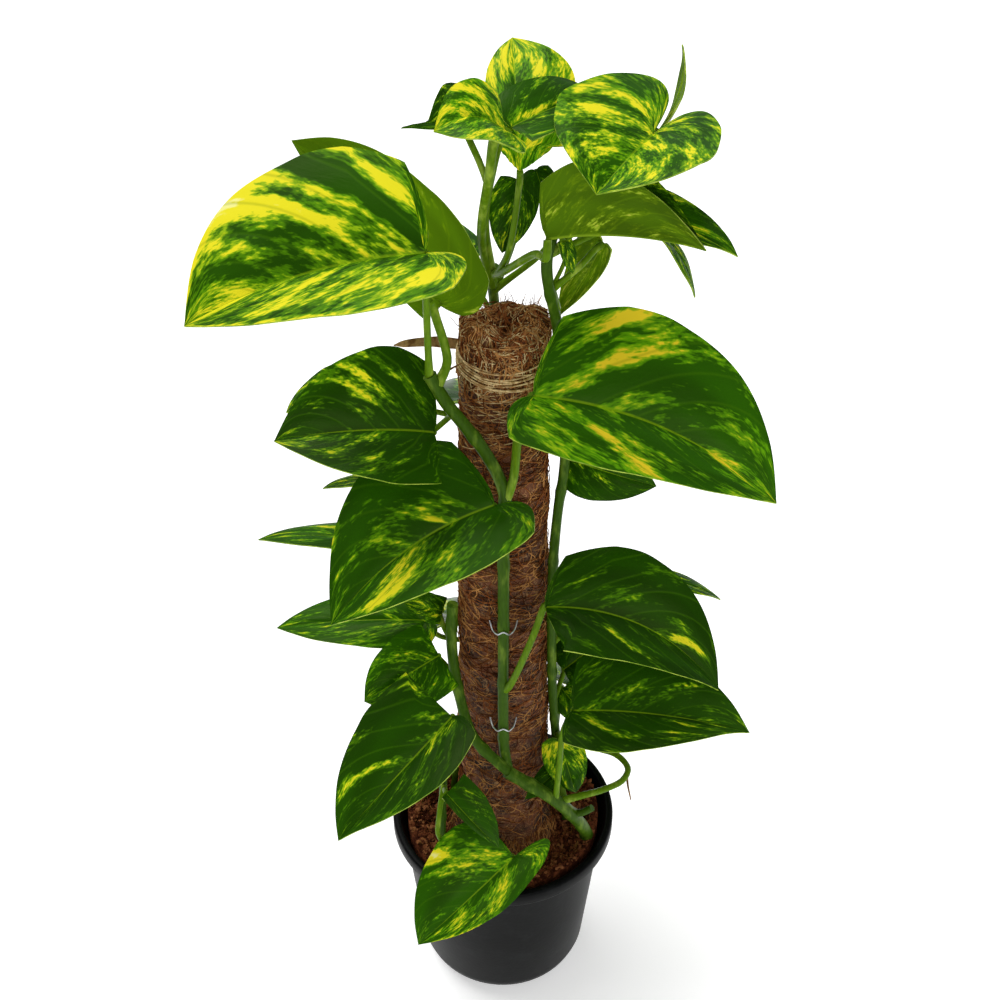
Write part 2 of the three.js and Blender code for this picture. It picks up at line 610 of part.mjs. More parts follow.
const VINES = {
  vine_main: {
    stems: [
      {
        radius: OLD_STEM_RADIUS,
        path: [
          [46, -14, 72], [55, -17, 100], [56.5, -19, 128], [51.5, -33, 160], [33, -45, 199], [2.4, -45, 226],
        ],
      },
      {
        radius: STEM_RADIUS,
        path: [[4, -45, 225], [-18, -37, 248], [-27, -26, 275], [-31, -17, 305], [-30, -16, 340]],
      },
      {
        radius: STEM_RADIUS,
        path: [
          [3, -43, 225], [0.5, -35, 238], [0, -33.6, 256], [0, -32.3, 336], [0, -31, 400], [0, -31, 436],
          [-10, -31, 462], [-19, -31, 477], [-30, -31, 494], [-38, -30, 510],
        ],
      },
      { radius: 2.5, path: [[43, -39, 180], [50, -41, 182], [57, -42, 188]] },
    ],
    roots: [
      [[-36, -29, 506], [-28, -21, 507.5], [-21.5, -15.5, 508]],
      [[-29.3, -21, 290], [-36, -23, 281], [-40, -25, 279]],
      [[79, -31, 209], [79.5, -34, 202], [82, -37, 190]],
    ],
  },
  vine_right: {
    stems: [
      {
        radius: SIDE_STEM_RADIUS,
        path: [
          [42, 2, 72], [43, 0, 130], [38, -3, 170], [34.5, -5, 212], [31, -8.5, 260], [29, -11, 322],
          [29, -12, 375], [31, -6, 403], [34, -2, 432], [33, -3, 470], [30, -9, 505], [27, -13, 530],
          [21, -24, 575], [33, -10, 604],
        ],
      },
    ],
    roots: [],
  },
  vine_back: {
    stems: [
      {
        radius: SIDE_STEM_RADIUS,
        path: [
          [2, 44, 72], [1, 43, 130], [0, 35.5, 200], [0, 33, 300], [-2, 31, 450], [-5, 31, 515], [-6, 27, 532],
          [-5, 23, 543],
        ],
      },
    ],
    roots: [],
  },
  vine_left: {
    stems: [
      {
        radius: SIDE_STEM_RADIUS - 0.5,
        path: [
          [-34, 28, 72], [-34, 28, 130], [-26, 24, 180], [-22, 22, 260], [-21, 20.5, 340], [-20, 20, 430],
          [-21.5, 20.5, 500],
        ],
      },
    ],
    roots: [],
  },
  vine_pot_front: {
    stems: [
      {
        radius: SIDE_STEM_RADIUS - 0.5,
        path: [[-36, -38, 72], [-40, -43, 128], [-39.5, -49, 164], [-38, -43, 205], [-37, -40, 224]],
      },
    ],
    roots: [],
  },
};
const ROOT_RADIUS = 0.9;
const STEM_SPACING = 16;
const PETIOLE_SPACING = 14;

function petioleTube(leaf) {
  const { base, up } = leafFrame(leaf);
  const knee = base.clone().addScaledVector(up, -(BLADE / 2 + GAP + 3.5 * leaf.stalk));
  const end = base.clone().addScaledVector(up, -(BLADE / 2 + GAP));
  return tube([...leaf.petiole, knee.toArray(), end.toArray()], leaf.stalk, 5, PETIOLE_SPACING);
}

function vineGeometry(name) {
  const { stems, roots } = VINES[name];
  const leaves = Object.values(LEAVES).filter((leaf) => leaf.vine === name);
  return fused([
    ...stems.map(({ path, radius }) => tube(path, radius, 6, STEM_SPACING)),
    ...leaves.map((leaf) => petioleTube({ ...LEAF_DEFAULTS, ...leaf })),
    ...roots.map((path) => tube(path, ROOT_RADIUS, 4, 6)),
  ]);
}

// Soil: a plug with an uneven top and plain holes for the pole and the stems

function soilGeometry() {
  const underRim = POT_HEIGHT - RIM_HEIGHT - 2;
  const plugRadius = (height) =>
    THREE.MathUtils.mapLinear(height, BODY_BASE_HEIGHT, underRim, BODY_BASE_RADIUS, MOUTH_RADIUS - 2) -
    POT_WALL - 2 * GAP;
  const levelRings = [56, 50, 44, SKIRT_RADIUS + 2];
  const plug = lathe(
    [
      [0, POT_WALL + GAP],
      [FOOT_RADIUS - 4, POT_WALL + GAP],
      [FOOT_RADIUS - 3, FOOT_HEIGHT + 4],
      [BODY_BASE_RADIUS - 12, FOOT_HEIGHT + 6],
      [BODY_BASE_RADIUS - 6.5, FOOT_HEIGHT + 9],
      [plugRadius(BODY_BASE_HEIGHT) - 1, BODY_BASE_HEIGHT + 2],
      [plugRadius(SOIL_LEVEL - 2), SOIL_LEVEL - 2],
      [plugRadius(SOIL_LEVEL) - 4, SOIL_LEVEL],
      ...levelRings.map((radius) => [radius, SOIL_LEVEL]),
      [0, SOIL_LEVEL],
    ],
    26,
  );
  const place = plug.attributes.position;
  for (let i = 0; i < place.count; i++) {
    const [x, y, z] = [place.getX(i), place.getY(i), place.getZ(i)];
    if (z < SOIL_LEVEL - 1 || Math.hypot(x, y) < SKIRT_RADIUS + 3) continue;
    place.setZ(i, z + 1.4 * Math.sin(x / 5 + y / 9) + 1.2 * Math.sin(y / 4 - x / 7));
  }
  const boreRadius = SLEEVE_BASE_RADIUS - 1 + 1.5 * GAP;
  const poleBore = new THREE.CylinderGeometry(boreRadius, boreRadius, POT_HEIGHT, 22).rotateX(Math.PI / 2);
  let soil = solidOf(plug).subtract(solidOf(poleBore.translate(0, 0, POLE_BOTTOM - GAP + POT_HEIGHT / 2)));
  for (const { stems } of Object.values(VINES)) {
    const { path, radius } = stems[0];
    const [foot, ...rest] = path.map(vector);
    const deeper = foot.clone().add(foot.clone().sub(rest[0]).setLength(2 * GAP));
    const route = [deeper, foot, ...rest.slice(0, 3)].map((point) => point.toArray());
    soil = soil.subtract(solidOf(tube(route, 1.16 * (radius + GAP), 8, STEM_SPACING)));
  }
  return geometryOf(soil);
}

// Materials and assembly

const leafGreen = 0x4f7f1c;
const finishes = {
  pot: finish(0x1b1d1f, 0.45),
  soil: finish(0x4a2616, 1),
  coir: finish(0x8a5a33, 1),
  core: finish(0x5a4632, 0.9),
  twine: finish(0xb08a58, 0.9),
  wire: finish(0xc8ccd0, 0.35, 1),
  stem: finish(0x4c7a20, 0.45),
};

addPiece("pot", potGeometry(), finishes.pot);
addPiece("soil", soilGeometry(), finishes.soil);
addPiece("pole_core", coreGeometry(), finishes.core);
addPiece("coir_sleeve", sleeveGeometry(), finishes.coir);
addPiece("twine", twineGeometry(), finishes.twine);
addPiece("wire_pin_upper", pinGeometry(-32.3, 336), finishes.wire);
addPiece("wire_pin_lower", pinGeometry(-33.6, 256), finishes.wire);
addPiece("dry_sheath", bladeGeometry({ ...LEAF_DEFAULTS, ...DRY_SHEATH }), finishes.coir);
for (const name of Object.keys(VINES)) {
  addPiece(name, vineGeometry(name), finishes.stem);
}
for (const [name, sizes] of Object.entries(LEAVES)) {
  addPiece(name, bladeGeometry({ ...LEAF_DEFAULTS, ...sizes }), finish(leafGreen, 0.4));
}

export default root;
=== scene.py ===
"""Finished scene of a golden pothos that climbs a coir pole in a black nursery pot.

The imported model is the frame. The pot, the soil, the leaves, the vines and what is on the pole are rebuilt
finer over their own nodes, with the same form, and get their veins, fibres and colours here. The pole's core
keeps its node. Sizes in the tables are millimetres, as in the part.
"""

from __future__ import annotations

import logging
import math
import random
from dataclasses import dataclass
from enum import Enum
from typing import Any, Sequence

import bmesh
import bpy
from mathutils import Euler, Matrix, Vector, noise


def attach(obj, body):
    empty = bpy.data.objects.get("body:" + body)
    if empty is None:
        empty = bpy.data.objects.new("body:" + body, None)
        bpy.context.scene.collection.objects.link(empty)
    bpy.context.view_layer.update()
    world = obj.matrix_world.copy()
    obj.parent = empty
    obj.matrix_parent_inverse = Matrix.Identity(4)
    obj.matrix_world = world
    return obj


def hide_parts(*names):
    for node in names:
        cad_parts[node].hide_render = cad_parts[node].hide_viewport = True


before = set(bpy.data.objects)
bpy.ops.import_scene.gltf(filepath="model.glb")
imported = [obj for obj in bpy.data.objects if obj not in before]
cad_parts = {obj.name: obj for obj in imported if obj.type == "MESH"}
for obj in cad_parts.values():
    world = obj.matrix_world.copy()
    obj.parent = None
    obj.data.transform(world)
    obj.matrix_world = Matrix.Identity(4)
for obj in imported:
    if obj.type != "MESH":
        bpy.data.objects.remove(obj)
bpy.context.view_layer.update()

LOG = logging.getLogger("pothos")
MM = 0.001

# Driving dimensions, shared with the part
GAP = 0.35
POT_HEIGHT = 140
RIM_RADIUS = 75
RIM_HEIGHT = 11
MOUTH_RADIUS = 70
FOOT_RADIUS = 45
FOOT_HEIGHT = 6
BODY_BASE_RADIUS = 58
BODY_BASE_HEIGHT = 20
POT_WALL = 2
DRAIN_SLOTS = 6
SOIL_LEVEL = 126
POLE_BOTTOM = 30
POLE_TOP = 524
SLEEVE_TOP_RADIUS = 22.5
SLEEVE_BASE_RADIUS = 29
SKIRT_RADIUS = 36
SKIRT_HEIGHT = 30
SLEEVE_LUMPS = 0.85
CORE_RADIUS = 9
CORE_RECESS = 15
BLADE = 0.8
STEM_RADIUS = 3.5
OLD_STEM_RADIUS = 4.4
SIDE_STEM_RADIUS = 3
ROOT_RADIUS = 0.9

# Sizes that the scene alone has
WELD = 0.02
STEM_SPACING = 2.5
PETIOLE_SPACING = 3
ROOT_SPACING = 1.5
WIRE_SPACING = 0.5

# Camera and background
CAMERA_PLACE = (-0.002, -0.651, 0.916)
CAMERA_PITCH = 51.9
CAMERA_LENS = 52.2
SENSOR_WIDTH = 36
FLOOR_SIZE = 10
FLOOR_GLOW = 0.42
WORLD_LIGHT = 0.38
SUN_LIGHT = 2.5
SUN_SOFTNESS = 50
SUN_TILT = (-14, -16)
FRONT_LIGHT_PLACE = (0.5, -1.5, 1.2)
FRONT_LIGHT_AIM = (0, 0, 0.35)
FRONT_LIGHT_SIZE = 1.0
FRONT_LIGHT_POWER = 7

Point = tuple[float, float, float]
Pair = tuple[float, float]
Colour = tuple[float, float, float, float]


class Slot(Enum):
    """Material slots of the record, one passed with each piece."""

    POT = "pot_plastic"
    SOIL = "soil"
    COIR = "coir"
    TWINE = "twine"
    WIRE = "wire"
    SHEATH = "dry_sheath"
    STEM = "stem"
    LEAF = "leaf"


def colour(code: str) -> Colour:
    """Turns a display colour into the linear one that shaders use.

    Args:
        code: Six hexadecimal digits, red first.

    Returns:
        Red, green, blue and alpha.
    """
    channels = [int(code[place : place + 2], 16) / 255 for place in (0, 2, 4)]
    linear = [c / 12.92 if c <= 0.04045 else ((c + 0.055) / 1.055) ** 2.4 for c in channels]
    return (*linear, 1.0)


def clamp(value: float, low: float, high: float) -> float:
    """Keeps a value between two limits."""
    return max(low, min(high, value))


def mix(start: float, end: float, share: float) -> float:
    """Goes from start to end by share."""
    return start + (end - start) * share


def ease(low: float, high: float, value: float) -> float:
    """Rises smoothly from 0 at low to 1 at high."""
    share = clamp((value - low) / (high - low), 0, 1)
    return share * share * (3 - 2 * share)


# Paths and strands


def smooth_path(points: Sequence[Point], spacing: float) -> list[Vector]:
    """Follows the centripetal curve that the part's tubes follow.

    Args:
        points: The points it goes through.
        spacing: Distance between the points returned, roughly.

    Returns:
        Points along the curve, both ends included.
    """
    spots = [Vector(point) for point in points]
    padded = [2 * spots[0] - spots[1], *spots, 2 * spots[-1] - spots[-2]]
    path = []
    for before, start, end, after in zip(padded, padded[1:], padded[2:], padded[3:]):
        first, middle, last = (
            math.sqrt((b - a).length) for a, b in ((before, start), (start, end), (end, after))
        )
        leave = (start - before) / first - (end - before) / (first + middle) + (end - start) / middle
        arrive = (end - start) / middle - (after - start) / (middle + last) + (after - end) / last
        leave *= middle
        arrive *= middle
        square = 3 * (end - start) - 2 * leave - arrive
        cube = 2 * (start - end) + leave + arrive
        steps = max(2, round((end - start).length / spacing))
        for step in range(steps):
            t = step / steps
            path.append(start + leave * t + square * t * t + cube * t * t * t)
    path.append(spots[-1])
    return path


@dataclass
class Strand:
    """One round length of stem, wire or fibre."""

    path: list[Vector]
    radii: list[float]
    material: int = 0


def linked(name: str, data: bpy.types.ID) -> bpy.types.Object:
    """Makes an object and puts it in the scene.

    Args:
        name: Its name.
        data: Its mesh, curve, light or camera.

    Returns:
        The object.
    """
    thing = bpy.data.objects.new(name, data)
    bpy.context.scene.collection.objects.link(thing)
    return thing


def finished(thing: bpy.types.Object) -> bpy.types.Object:
    """Turns a curve, or a mesh with modifiers, into a plain mesh.

    Args:
        thing: The curve or mesh object, which is removed.

    Returns:
        A mesh object of the same name.
    """
    name = thing.name
    graph = bpy.context.evaluated_depsgraph_get()
    mesh = bpy.data.meshes.new_from_object(thing.evaluated_get(graph), depsgraph=graph)
    bpy.data.objects.remove(thing)
    mesh.name = name
    return linked(name, mesh)


def thickened(piece: bpy.types.Object, under: int = 0, rim: int = 0) -> bpy.types.Object:
    """Gives a sheet a blade's thickness, half of it on each side.

    Args:
        piece: The sheet, which is removed.
        under: Index of its under side's material.
        rim: Index of its rim's material.

    Returns:
        The closed mesh object.
    """
    thick = piece.modifiers.new("thickness", "SOLIDIFY")
    thick.thickness = BLADE * MM
    thick.offset = 0
    thick.material_offset = under
    thick.material_offset_rim = rim
    return finished(piece)


def strands_object(
    name: str, strands: Sequence[Strand], materials: Sequence[bpy.types.Material], roundness: int
) -> bpy.types.Object:
    """Sweeps round sections along strands and joins them in one mesh.

    Args:
        name: Name of the piece.
        strands: What to sweep.
        materials: The strands' materials, in the order of their indices.
        roundness: 0 gives four sides, and each step two more each way.

    Returns:
        The mesh object.
    """
    curve = bpy.data.curves.new(name, "CURVE")
    curve.dimensions = "3D"
    curve.bevel_depth = MM
    curve.bevel_resolution = roundness
    curve.use_fill_caps = True
    for material in materials:
        curve.materials.append(material)
    for strand in strands:
        spline = curve.splines.new("POLY")
        spline.points.add(len(strand.path) - 1)
        for spot, place, radius in zip(spline.points, strand.path, strand.radii):
            spot.co = (*(place * MM), 1)
            spot.radius = radius
        spline.material_index = strand.material
        spline.use_smooth = True
    return finished(linked(name, curve))


def object_of(name: str, bm: bmesh.types.BMesh, materials: Sequence[bpy.types.Material]) -> bpy.types.Object:
    """Makes a smooth-shaded mesh object out of a finished bmesh.

    Args:
        name: Name of the object.
        bm: The bmesh, which is freed.
        materials: Its materials, in the order of their indices.

    Returns:
        The object.
    """
    mesh = bpy.data.meshes.new(name)
    bm.to_mesh(mesh)
    bm.free()
    for material in materials:
        mesh.materials.append(material)
    mesh.shade_smooth()
    return linked(name, mesh)


def lathe(profile: Sequence[Pair], segments: int) -> bmesh.types.BMesh:
    """Turns a profile about Z.

    Args:
        profile: Radius and height of each point in millimetres. A closed profile ends on its first point.
        segments: How many flats the turned shape has.

    Returns:
        The turned bmesh, in metres.
    """
    bm = bmesh.new()
    spots = [bm.verts.new((radius * MM, 0, height * MM)) for radius, height in profile]
    edges = [bm.edges.new(pair) for pair in zip(spots, spots[1:])]
    bmesh.ops.spin(
        bm,
        geom=[*spots, *edges],
        axis=(0, 0, 1),
        cent=(0, 0, 0),
        steps=segments,
        angle=2 * math.pi,
        use_merge=True,
    )
    bmesh.ops.remove_doubles(bm, verts=bm.verts, dist=0.01 * MM)
    bmesh.ops.recalc_face_normals(bm, faces=bm.faces)
    return bm


def dress(piece: bpy.types.Object, slot: Slot, *nodes: str) -> bpy.types.Object:
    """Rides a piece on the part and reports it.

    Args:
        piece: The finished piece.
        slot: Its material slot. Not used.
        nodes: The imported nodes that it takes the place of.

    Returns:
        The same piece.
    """
    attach(piece, "root")
    if nodes:
        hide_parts(*nodes)
    LOG.info("%s: %d faces", piece.name, len(piece.data.polygons))
    return piece


# Shader building


class Graph:
    """Adds nodes to one node tree and links them on the way."""

    def __init__(self, tree: bpy.types.NodeTree) -> None:
        """Takes the node tree to fill."""
        self.tree = tree

    def add(self, kind: str, inputs: dict[Any, Any], **settings: Any) -> bpy.types.Node:
        """Adds a node.

        Args:
            kind: Its type, without the leading ShaderNode.
            inputs: Sockets or values for its inputs, by name or number.
            settings: Its own properties.

        Returns:
            The node.
        """
        node = self.tree.nodes.new(f"ShaderNode{kind}")
        for name, value in settings.items():
            setattr(node, name, value)
        for name, value in inputs.items():
            if isinstance(value, bpy.types.NodeSocket):
                self.tree.links.new(value, node.inputs[name])
            else:
                node.inputs[name].default_value = value
        return node

    def math(self, operation: str, first: Any, second: Any = 0.0, third: Any = 0.0) -> bpy.types.NodeSocket:
        """Adds a math node and returns its result."""
        return self.add("Math", {0: first, 1: second, 2: third}, operation=operation).outputs[0]

    def spread(self, value: Any, low: float, high: float, start: float, end: float) -> bpy.types.NodeSocket:
        """Maps low to high smoothly onto start to end."""
        inputs = {0: value, 1: low, 2: high, 3: start, 4: end}
        return self.add("MapRange", inputs, interpolation_type="SMOOTHSTEP").outputs[0]

    def blend(self, share: Any, first: Any, second: Any, kind: str = "MIX") -> bpy.types.NodeSocket:
        """Mixes two colours."""
        return self.add("Mix", {0: share, 6: first, 7: second}, data_type="RGBA", blend_type=kind).outputs[2]

    def noise(
        self, vector: Any, scale: Any, detail: float = 2, roughness: float = 0.5
    ) -> bpy.types.NodeSocket:
        """Adds a noise texture and returns its value."""
        inputs = {"Vector": vector, "Scale": scale, "Detail": detail, "Roughness": roughness}
        return self.add("TexNoise", inputs).outputs[0]

    def stretched(self, vector: Any, sizes: Any) -> bpy.types.NodeSocket:
        """Scales a vector by each axis."""
        return self.add("VectorMath", {0: vector, 1: sizes}, operation="MULTIPLY").outputs[0]

    def attribute(self, name: str) -> bpy.types.NodeSocket:
        """Reads a number that the mesh's vertices carry."""
        return self.add("Attribute", {}, attribute_name=name).outputs["Fac"]

    def dimmed(self, shade: Any, depth: Any) -> bpy.types.NodeSocket:
        """Multiplies a colour by a number."""
        grey = self.add("CombineXYZ", {0: depth, 1: depth, 2: depth}).outputs[0]
        return self.blend(1.0, shade, grey, "MULTIPLY")


class Effect:
    """A shared node group that puts out varying colours and values."""

    def __init__(self, name: str, inputs: dict[str, Any], outputs: dict[str, str]) -> None:
        """Makes the group with its sockets.

        Args:
            name: Name of the group.
            inputs: What its inputs hold at first, numbers or colours, by label.
            outputs: The kind of each output, Color or Float, by label.
        """
        self.tree = bpy.data.node_groups.new(name, "ShaderNodeTree")
        kinds = {float: "NodeSocketFloat", tuple: "NodeSocketColor"}
        for label, default in inputs.items():
            socket = self.tree.interface.new_socket(label, in_out="INPUT", socket_type=kinds[type(default)])
            socket.default_value = default
        for label, kind in outputs.items():
            self.tree.interface.new_socket(label, in_out="OUTPUT", socket_type=f"NodeSocket{kind}")
        self.graph = Graph(self.tree)
        self.given = self.tree.nodes.new("NodeGroupInput").outputs
        self.result = self.tree.nodes.new("NodeGroupOutput").inputs

    def put_out(self, values: dict[str, bpy.types.NodeSocket]) -> None:
        """Links the group's outputs."""
        for label, value in values.items():
            self.tree.links.new(value, self.result[label])


def shader(name: str) -> tuple[bpy.types.Material, Graph, bpy.types.Node]:
    """Makes a material.

    Args:
        name: Its name.

    Returns:
        The material, its graph and its shader node.
    """
    material = bpy.data.materials.new(name)
    material.use_nodes = True
    graph = Graph(material.node_tree)
    return material, graph, material.node_tree.nodes["Principled BSDF"]


def used(graph: Graph, effect: Effect, inputs: dict[str, Any]) -> bpy.types.Node:
    """Puts a shared effect into a material.

    Args:
        graph: The material's graph.
        effect: The effect.
        inputs: Values for its inputs, by label.

    Returns:
        The node that holds the effect.
    """
    node = graph.tree.nodes.new("ShaderNodeGroup")
    node.node_tree = effect.tree
    for name, value in inputs.items():
        node.inputs[name].default_value = value
    return node


def bump(
    graph: Graph, target: bpy.types.Node, height: bpy.types.NodeSocket, strength: float, reach: float
) -> None:
    """Gives a shader a bump from a height, where reach is the depth in metres."""
    node = graph.add("Bump", {"Height": height, "Strength": strength, "Distance": reach})
    graph.tree.links.new(node.outputs[0], target.inputs["Normal"])


# Shared effects


@dataclass(frozen=True)
class LeafColours:
    """What one side of a blade is coloured with, from its ground colour to its palest streaks."""

    dark: Colour
    green: Colour
    lime: Colour
    yellow: Colour
    cream: Colour


UPPER_SIDE = LeafColours(
    dark=colour("1c4102"),
    green=colour("437205"),
    lime=colour("8bb012"),
    yellow=colour("e6dc24"),
    cream=colour("f0ec90"),
)
UNDER_SIDE = LeafColours(
    dark=colour("4c6e06"),
    green=colour("618208"),
    lime=colour("86a322"),
    yellow=colour("b9ba45"),
    cream=colour("cfca72"),
)
ORANGE = colour("e3b52c")
VEIN_SWEEP = 0.26
VEINS_A_SIDE = 10
BLADE_MAP = "blade"

# Layers of a blade's marks: how each is stretched across, along and from leaf to leaf, and its weight
PATCH_STRETCH = (2.0, 9.0, 1.0)
STREAK_STRETCH = (6.0, 30.0, 1.7)
FLECK_STRETCH = (20.0, 70.0, 2.9)
PATCH_WEIGHT = 0.85
STREAK_WEIGHT = 0.6
FLECK_WEIGHT = 0.4

# Between which values of the marks each colour comes in over the one before
GREEN_BAND = (0.40, 0.53)
LIME_BAND = (0.53, 0.59)
YELLOW_BAND = (0.59, 0.69)
CREAM_BAND = (0.92, 1.1)

# The midrib's half width at the junction, its loss to the tip, its soft edge, and how strongly veins show
RIB_HALF = 0.024
RIB_LOSS = -0.014
RIB_EDGE = 0.01
RIB_STRENGTH = 0.55
VEIN_EDGE = 0.09
VEIN_STRENGTH = 0.3

# Layers of fibre in the felt: how fine each is, how wide and how high
FELT_LAYERS = ((130.0, 0.018, 0.35), (210.0, 0.022, 0.25), (330.0, 0.028, 0.2))
FELT_COVER = 0.6


def variegation() -> Effect:
    """Streaks and patches that follow the lateral veins of a blade, with its midrib and vein lines.

    Returns:
        The node group. It reads the blade's own map, where x runs across and y along, and its attributes.
    """
    shades = {label: (0.0, 0.0, 0.0, 1.0) for label in ("Dark", "Green", "Lime", "Yellow", "Cream")}
    effect = Effect("variegation", shades, {"Color": "Color", "Roughness": "Float", "Height": "Float"})
    graph = effect.graph
    place = graph.add("SeparateXYZ", {0: graph.add("UVMap", {}, uv_map=BLADE_MAP).outputs[0]}).outputs
    across = graph.math("MULTIPLY_ADD", place[0], 2.0, -1.0)
    share = graph.math("ABSOLUTE", across)
    vein = graph.math("MULTIPLY_ADD", share, -VEIN_SWEEP, place[1])
    spot = graph.add("CombineXYZ", {0: across, 1: vein, 2: graph.attribute("seed")}).outputs[0]

    patches = graph.noise(graph.stretched(spot, PATCH_STRETCH), 1.0, 2)
    streaks = graph.noise(graph.stretched(spot, STREAK_STRETCH), 1.0, 3, 0.6)
    flecks = graph.noise(graph.stretched(spot, FLECK_STRETCH), 1.0, 2)
    value = graph.math("ADD", graph.attribute("gold"), 0.5)
    for layer, weight in ((patches, PATCH_WEIGHT), (streaks, STREAK_WEIGHT), (flecks, FLECK_WEIGHT)):
        value = graph.math("MULTIPLY_ADD", graph.math("SUBTRACT", layer, 0.5), weight, value)

    cloud = graph.spread(graph.noise(spot, 2.3, 1), 0.3, 0.7, 0.8, 1.2)
    depth = graph.math("MULTIPLY", graph.attribute("tone"), cloud)
    greener = graph.spread(value, *GREEN_BAND, 0.0, 1.0)
    shade = graph.dimmed(graph.blend(greener, effect.given["Dark"], effect.given["Green"]), depth)
    yellow = graph.blend(graph.attribute("warm"), effect.given["Yellow"], ORANGE)
    inks = (
        (effect.given["Lime"], LIME_BAND),
        (yellow, YELLOW_BAND),
        (effect.given["Cream"], CREAM_BAND),
    )
    for ink, band in inks:
        shade = graph.blend(graph.spread(value, *band, 0.0, 1.0), shade, ink)

    rib = graph.math("SUBTRACT", graph.math("MULTIPLY_ADD", place[1], RIB_LOSS, RIB_HALF), share)
    rib_mask = graph.spread(rib, -RIB_EDGE, RIB_EDGE, 0.0, RIB_STRENGTH)
    shade = graph.blend(rib_mask, shade, effect.given["Lime"])
    wave = graph.math("PINGPONG", graph.math("MULTIPLY", vein, float(VEINS_A_SIDE)), 0.5)
    vein_mask = graph.spread(wave, 0.0, VEIN_EDGE, VEIN_STRENGTH, 0.0)
    shade = graph.blend(vein_mask, shade, effect.given["Green"])

    height = graph.math("MULTIPLY_ADD", streaks, 0.7, graph.math("MULTIPLY", flecks, 0.3))
    height = graph.math("MULTIPLY_ADD", vein_mask, -0.6, height)
    roughness = graph.spread(patches, 0.3, 0.7, 0.27, 0.42)
    effect.put_out({"Color": shade, "Roughness": roughness, "Height": height})
    return effect


def mottle() -> Effect:
    """Irregular marks and fine grain over a ground colour, in the object's own space.

    Returns:
        The node group. A Stretch below 1 draws the marks out along Z.
    """
    effect = Effect(
        "mottle",
        {
            "Ground": (0.5, 0.5, 0.5, 1.0),
            "Mark": (0.8, 0.8, 0.8, 1.0),
            "Scale": 100.0,
            "Stretch": 1.0,
            "Low": 0.5,
            "High": 0.6,
        },
        {"Color": "Color", "Height": "Float"},
    )
    graph = effect.graph
    spot = graph.add("TexCoord", {}).outputs["Object"]
    drawn = graph.add("CombineXYZ", {0: 1.0, 1: 1.0, 2: effect.given["Stretch"]}).outputs[0]
    spot = graph.stretched(spot, drawn)
    marks = graph.noise(spot, effect.given["Scale"], 3, 0.6)
    grain = graph.noise(spot, graph.math("MULTIPLY", effect.given["Scale"], 6.0), 2)
    mask = graph.spread(marks, effect.given["Low"], effect.given["High"], 0.0, 1.0)
    shade = graph.blend(mask, effect.given["Ground"], effect.given["Mark"])
    shade = graph.dimmed(shade, graph.spread(grain, 0.3, 0.7, 0.85, 1.1))
    effect.put_out({"Color": shade, "Height": graph.math("MULTIPLY_ADD", marks, 0.5, grain)})
    return effect


def felt() -> Effect:
    """Matted coir: thin pale fibres that curl over a ground, painted dark in its hollows as shade.

    Returns:
        The node group. Each fibre follows the middle value of a noise.
    """
    effect = Effect(
        "felt",
        {"Ground": (0.3, 0.2, 0.1, 1.0), "Deep": (0.1, 0.05, 0.02, 1.0), "Fibre": (0.6, 0.4, 0.2, 1.0)},
        {"Color": "Color", "Height": "Float"},
    )
    graph = effect.graph
    spot = graph.add("TexCoord", {}).outputs["Object"]
    cloud = graph.noise(spot, 60.0, 4, 0.65)
    # Painted shade: where the felt lies low, its ground goes to the dark shade colour, and where it stands
    # high, to the lit ground colour.
    lit = graph.spread(cloud, 0.35, 0.6, 0.0, 1.0)
    shade = graph.blend(lit, effect.given["Deep"], effect.given["Ground"])
    height = cloud
    for scale, width, push in FELT_LAYERS:
        hills = graph.noise(spot, scale, 1, 0.4)
        distance = graph.math("ABSOLUTE", graph.math("SUBTRACT", hills, 0.5))
        line = graph.spread(distance, 0.0, width, 1.0, 0.0)
        shade = graph.blend(graph.math("MULTIPLY", line, FELT_COVER), shade, effect.given["Fibre"])
        height = graph.math("MULTIPLY_ADD", line, push, height)
    effect.put_out({"Color": shade, "Height": height})
    return effect


@dataclass(frozen=True)
class Finish:
    """A mottled finish: its ground, its marks and how it shines.

    scale says how fine the marks are, and band between which values of the noise they come in. A stretch
    below 1 draws them out along Z.
    """

    ground: Colour
    mark: Colour
    scale: float
    band: Pair
    roughness: float
    stretch: float = 1.0
    metallic: float = 0.0
    bump_depth: float = 0.0001
    shine: float = 0.2


# Blades and mottled finishes have a soft reflection, and that of the blades is greenish
SOFT_IOR = 1.25
LEAF_GLOSS = (0.8, 1.0, 0.35, 1.0)

POT_PLASTIC = Finish(colour("050606"), colour("111313"), 60, (0.5, 0.75), 0.42)
PEAT = Finish(colour("3c1b0f"), colour("6b3a22"), 180, (0.42, 0.62), 0.95, bump_depth=0.001)
PEAT_CHUNK = Finish(colour("6a3a22"), colour("9a6540"), 150, (0.4, 0.65), 0.95, bump_depth=0.0005)
CORE = Finish(colour("1e1611"), colour("34271c"), 120, (0.4, 0.6), 0.9)
STRAW = Finish(colour("a07c4e"), colour("d9bf8c"), 260, (0.4, 0.6), 0.8, bump_depth=0.0002)
STEEL = Finish(colour("c9ccd0"), colour("9fa2a5"), 300, (0.55, 0.7), 0.28, metallic=1.0, shine=0.5)
PAPER = Finish(colour("a88558"), colour("75532f"), 150, (0.5, 0.65), 0.8, stretch=0.4)
STEM = Finish(colour("36540a"), colour("5f7a22"), 120, (0.52, 0.7), 0.4, stretch=0.3)
PETIOLE = Finish(colour("587a0c"), colour("8aa336"), 110, (0.52, 0.72), 0.38, stretch=0.3)
ROOT = Finish(colour("5b4024"), colour("856039"), 200, (0.45, 0.6), 0.85)
# The blades' rims are pale: partly the margin's own paler colour, partly a painted highlight along the edges.
BLADE_EDGE = Finish(colour("a9bf48"), colour("6f8f22"), 120, (0.4, 0.6), 0.5)
FIBRE = Finish(colour("864c26"), colour("bd8850"), 90, (0.42, 0.62), 0.85, shine=0.1)
